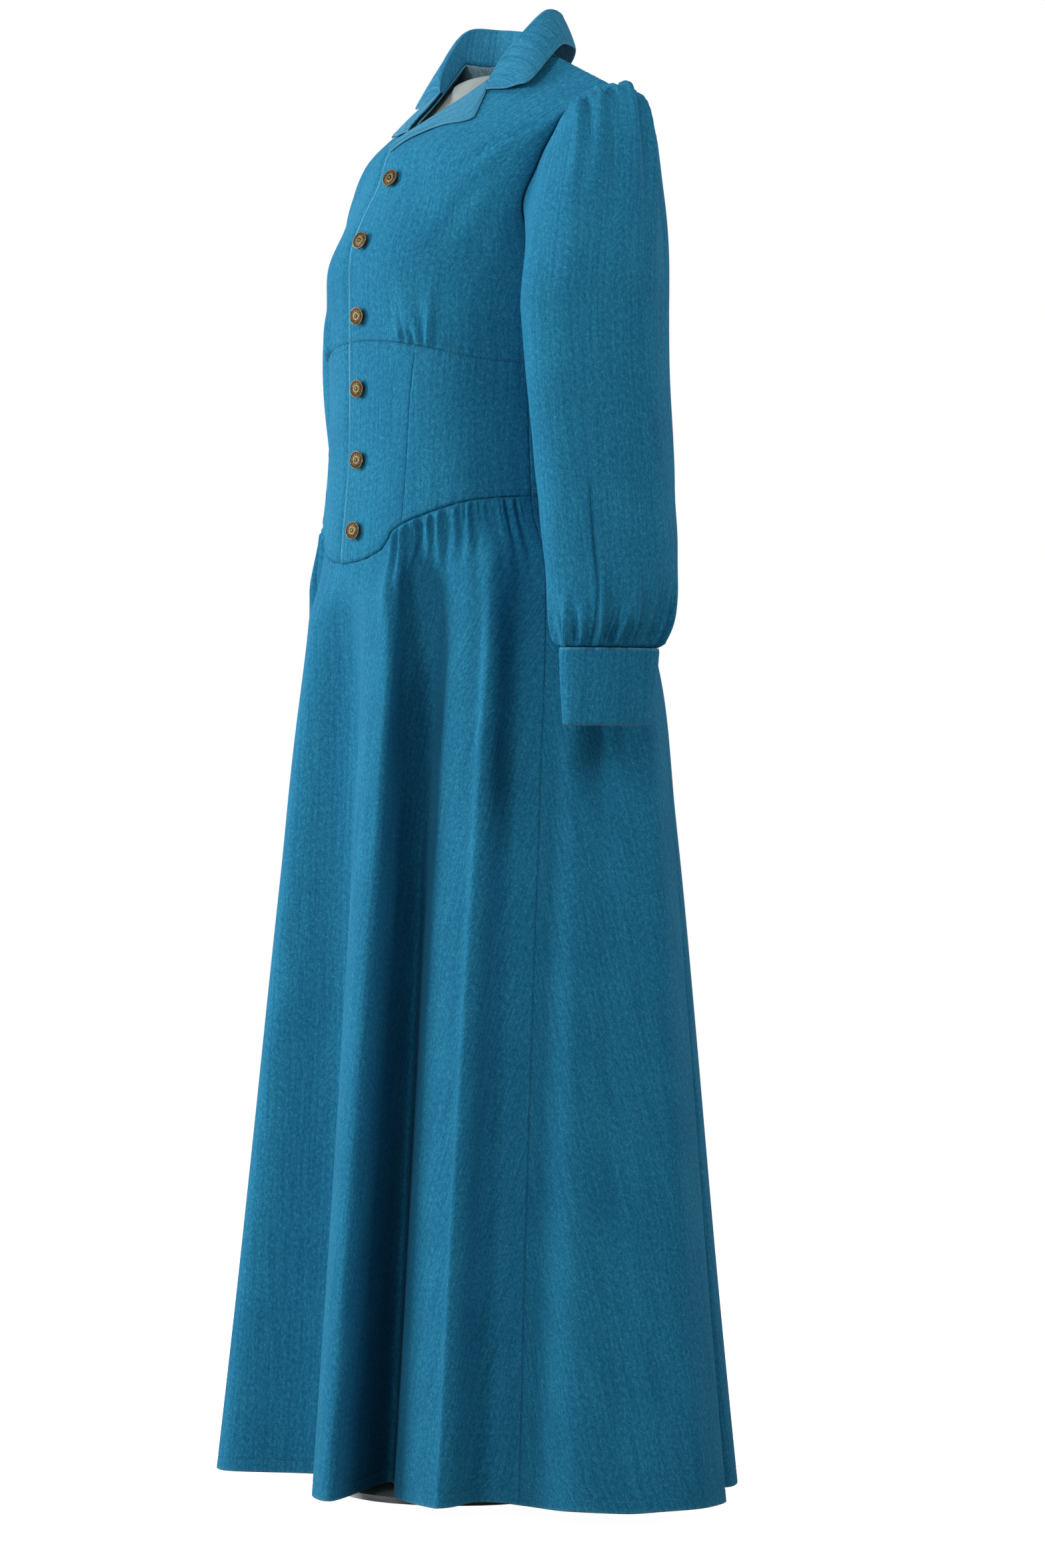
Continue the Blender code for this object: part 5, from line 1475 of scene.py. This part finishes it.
def button_parts():
    """The domed button: body, rope rim, rings of dots and the centre boss, with their wear."""
    radius = BUTTON_DIAMETER / 2
    profile = [
        (0.0001, 0.0009), (0.0022, 0.0009), (0.0022, 0.0036), (radius * 0.94, 0.0044),
        (radius, 0.0050), (radius, 0.0058), (radius * 0.96, 0.0064), (radius * 0.90, 0.0065),
        (radius * 0.86, 0.0061), (radius * 0.82, 0.0058), (radius * 0.62, 0.0061),
        (radius * 0.44, 0.0064), (radius * 0.40, 0.0068), (radius * 0.34, 0.0068),
        (radius * 0.30, 0.0064), (0.0001, 0.0066),
    ]
    points, faces = lathe(profile, BUTTON_SIDES)
    wear = []
    for across, height in profile:
        raised = height >= 0.0063 and across > radius * 0.3
        wear += [RAISED_BRASS if raised else SUNK_BRASS] * BUTTON_SIDES

    def add_ball(brightness, *shape):
        more, cells = ball(*shape)
        faces.extend([tuple(index + len(points) for index in cell) for cell in cells])
        points.extend(more)
        wear.extend([brightness] * len(more))

    for ring_radius, count, size in BUTTON_DOTS:
        height = 0.0058 + 0.0008 * (1.0 - ring_radius / radius)
        for number in range(count):
            turn = 2.0 * math.pi * (number + 0.5 * (count % 4 == 0)) / count
            centre = (ring_radius * math.cos(turn), ring_radius * math.sin(turn), height)
            add_ball(1.0, size, centre)
    strands, size, reach, height = ROPE
    for number in range(strands):
        turn = 2.0 * math.pi * number / strands
        centre = (radius * reach * math.cos(turn), radius * reach * math.sin(turn), height)
        add_ball(ROPE_BRASS, size, centre, 0.8, 4, 6)
    add_ball(1.0, 0.0012, (0.0, 0.0, 0.0065), 0.7, 8, 16)
    return np.array(points), faces, np.array(wear)


def make_buttons():
    """Six buttons with a worked buttonhole under each."""
    points, faces, wear = button_parts()
    rows = []
    for number, (height, across) in enumerate(BUTTONS, 1):
        point, outward = front_at(across, height)
        lean = unit(np.cross(UP, outward))
        axis = outward * math.cos(BUTTON_TILT) + lean * math.sin(BUTTON_TILT)
        side = unit(np.cross(UP, axis))
        turned = np.stack([side, np.cross(axis, side), axis])
        name = "button_%d" % number
        mesh = bpy.data.meshes.new(name + "_brass")
        mesh.from_pydata((points @ turned + point).tolist(), [], faces)
        mesh.materials.append(BRASS)
        mesh.shade_smooth()
        mesh.set_sharp_from_angle(angle=math.radians(40))
        attribute = mesh.attributes.new("wear", "FLOAT", "POINT")
        attribute.data.foreach_set("value", wear.astype(np.float32))
        piece = bpy.data.objects.new(name + "_brass", mesh)
        bpy.context.collection.objects.link(piece)
        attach(piece, ROOT)
        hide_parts(name)
        for level in (-0.0009, 0.0009):
            run = np.linspace(-0.002, 0.0135, 40)[:, None]
            path = point + run * lean + level * np.cross(outward, lean)
            bend = np.array([front_at(across + float(step), height)[0] for step in run[::8, 0]])
            depth = np.interp(run[:, 0], run[::8, 0], (bend - point) @ outward)
            path = path + (depth + 0.0003)[:, None] * outward
            rows.append(stitch_row(path, np.broadcast_to(outward, path.shape)))
    stitching("stitching_buttonholes", rows)


def make_form():
    """The smooth grey-green torso of the dress form, and the looks of its stand."""
    degrees = np.linspace(0.0, 90.0, 33)
    ups = [*np.linspace(0.0, 7.0, 22), 7.2, 7.4, 7.6, 7.8, 8.0]
    front, back, insets, open_side = [], [], [], []
    for share in (0.0, 0.3, 0.65):
        height = FORM_BOTTOM + (underbust_height(degrees) - FORM_BOTTOM) * share
        front.append(body_point(degrees, height))
        height = FORM_BOTTOM + (underbust_height(180.0 - degrees) - FORM_BOTTOM) * share
        back.append(body_point(180.0 - degrees, height))
        insets.append(FORM_CLEARANCE * (2.0 - share))
        open_side.append(False)
    for up in ups:
        place = np.full_like(degrees, up)
        front.append(bodice_front_point(degrees, place))
        back.append(bodice_back_point(degrees, place))
        seated = float(ease((up - 7.4) / 0.6))
        insets.append(FORM_CLEARANCE + (FORM_SEAT_GAP - FORM_CLEARANCE) * seated)
        open_side.append(up > UNDERARM_ROW)
    inset = np.array(insets)[:, None, None] + WALL
    closed_side = ~np.array(open_side)
    halves = []
    for panel in (np.array(front), np.array(back)[:, ::-1]):
        normals = grid_normals(panel, False)
        normals[0, :, 2] = 0.0
        side = int(np.argmax(np.abs(panel[0, :, 0])))
        normals[closed_side, side] = (1.0, 0.0, 0.0)
        normals[:, panel.shape[1] - 1 - side, 0] = 0.0
        seam = panel[-1, :, 0] >= NECK_HALF_WIDTH - 0.001
        normals[-1, seam] = (0.35, 0.0, 1.0)
        halves.append(panel - inset * unit(normals))
    front, back = halves
    cap_share = np.linspace(0.0, 1.0, 9)[None, 1:-1, None]
    cap = front[:, -1:] + (back[:, :1] - front[:, -1:]) * cap_share
    left = np.concatenate([front, cap, back], 1)
    grid = np.concatenate([left, left[:, -2:0:-1] * MIRROR], 1)

    def cut(points):
        limit = FORM_TOP - 0.25 * points[..., 0] ** 2 - 0.5 * (points[..., 1] - FORM_CENTRE_Y) ** 2
        soft = 0.002
        points[..., 2] = limit - soft * np.log1p(np.exp((limit - points[..., 2]) / soft))
        return points

    top, bottom = grid[-1], grid[0]
    centre = np.array([0.0, FORM_CENTRE_Y, FORM_TOP + 0.02])
    crown = [top + (centre - top) * share for share in np.linspace(0.0, 0.995, 14)[1:]]
    floor = bottom.mean(0)
    under = [bottom + (floor - bottom) * share for share in (0.995, 0.6, 0.2, 0.03)]
    grid = cut(np.stack([*under, *grid, *crown]))
    rows, columns = grid.shape[:2]
    index = np.arange(rows * columns).reshape(rows, columns)
    index = np.concatenate([index, index[:, :1]], 1)
    faces = np.stack([index[:-1, :-1], index[:-1, 1:], index[1:, 1:], index[1:, :-1]], -1).reshape(-1, 4)
    points = grid.reshape(-1, 3)
    piece = make_mesh("form_torso_smooth", points, faces, np.zeros(len(faces)), points[:, :2].copy(),
                      np.zeros(len(points)), [SKIN])
    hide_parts("form_torso")
    for node in ("form_pole", "form_base"):
        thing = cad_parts[node]
        thing.material_slots[0].material = STAND


def make_stage():
    """White floor, soft light and the photograph's camera."""
    scene = bpy.context.scene
    world = bpy.data.worlds.new("studio")
    scene.world = world
    world.use_nodes = True
    tree = world.node_tree
    background = tree.nodes["Background"]
    background.inputs["Color"].default_value = (1.0, 1.0, 1.0, 1.0)
    background.inputs["Strength"].default_value = FILL_STRENGTH
    seen = tree.nodes.new("ShaderNodeBackground")
    seen.inputs["Color"].default_value = (1.0, 1.0, 1.0, 1.0)
    seen.inputs["Strength"].default_value = 1.0
    ray = tree.nodes.new("ShaderNodeLightPath")
    choice = tree.nodes.new("ShaderNodeMixShader")
    tree.links.new(ray.outputs["Is Camera Ray"], choice.inputs[0])
    tree.links.new(background.outputs[0], choice.inputs[1])
    tree.links.new(seen.outputs[0], choice.inputs[2])
    tree.links.new(choice.outputs[0], tree.nodes["World Output"].inputs["Surface"])
    mesh = bpy.data.meshes.new("floor")
    size = FLOOR_HALF_SIZE
    mesh.from_pydata([(-size, -size, 0), (size, -size, 0), (size, size, 0), (-size, size, 0)], [],
                     [(0, 1, 2, 3)])
    floor = bpy.data.objects.new("floor", mesh)
    floor.location.z = -0.0005
    bpy.context.collection.objects.link(floor)
    material, tree, shader = principled("floor_white")
    shader.inputs["Base Color"].default_value = (0.45, 0.45, 0.45, 1.0)
    shader.inputs["Roughness"].default_value = 0.9
    shader.inputs["Emission Color"].default_value = (1.0, 1.0, 1.0, 1.0)
    ray = add_node(tree, "ShaderNodeLightPath")
    glow = math_node(tree, "MULTIPLY", ray.outputs["Is Camera Ray"], FLOOR_GLOW)
    tree.links.new(glow, shader.inputs["Emission Strength"])
    mesh.materials.append(material)

    toward = np.array([math.sin(CAMERA_AZIMUTH), -math.cos(CAMERA_AZIMUTH), 0.0])
    right = np.array([math.cos(CAMERA_AZIMUTH), math.sin(CAMERA_AZIMUTH), 0.0])
    for name, aside, ahead, height, width, power in LIGHTS:
        lamp = bpy.data.lights.new(name, "AREA")
        lamp.shape = "RECTANGLE"
        lamp.size, lamp.size_y = width, width * 1.4
        lamp.energy = power
        light = bpy.data.objects.new(name, lamp)
        place = Vector((aside * right + ahead * toward + np.array([0.0, 0.0, height])).tolist())
        light.location = place
        aim = Vector((0.0, 0.0, LIGHT_AIM_HEIGHT)) - place
        light.rotation_euler = aim.to_track_quat("-Z", "Y").to_euler()
        bpy.context.collection.objects.link(light)

    lens = bpy.data.cameras.new("camera")
    lens.sensor_fit = "VERTICAL"
    lens.sensor_height = SENSOR
    lens.lens = SENSOR * CAMERA_DISTANCE / FRAME_HEIGHT
    camera = bpy.data.objects.new("camera", lens)
    place = toward * CAMERA_DISTANCE + right * CAMERA_ASIDE
    camera.location = (place[0], place[1], CAMERA_HEIGHT)
    camera.rotation_euler = (math.pi / 2, 0.0, CAMERA_AZIMUTH)
    bpy.context.collection.objects.link(camera)
    scene.camera = camera
    scene.view_settings.view_transform = "Standard"
    scene.view_settings.look = "None"


make_stage()
make_form()
make_skirt()
make_midriff()
make_bodice()
make_sleeves()
on_bodice = bodice_field()
edges = make_collar(on_bodice)
edges += make_lapels(on_bodice)
stitching("stitching_collar", edges)
make_buttons()
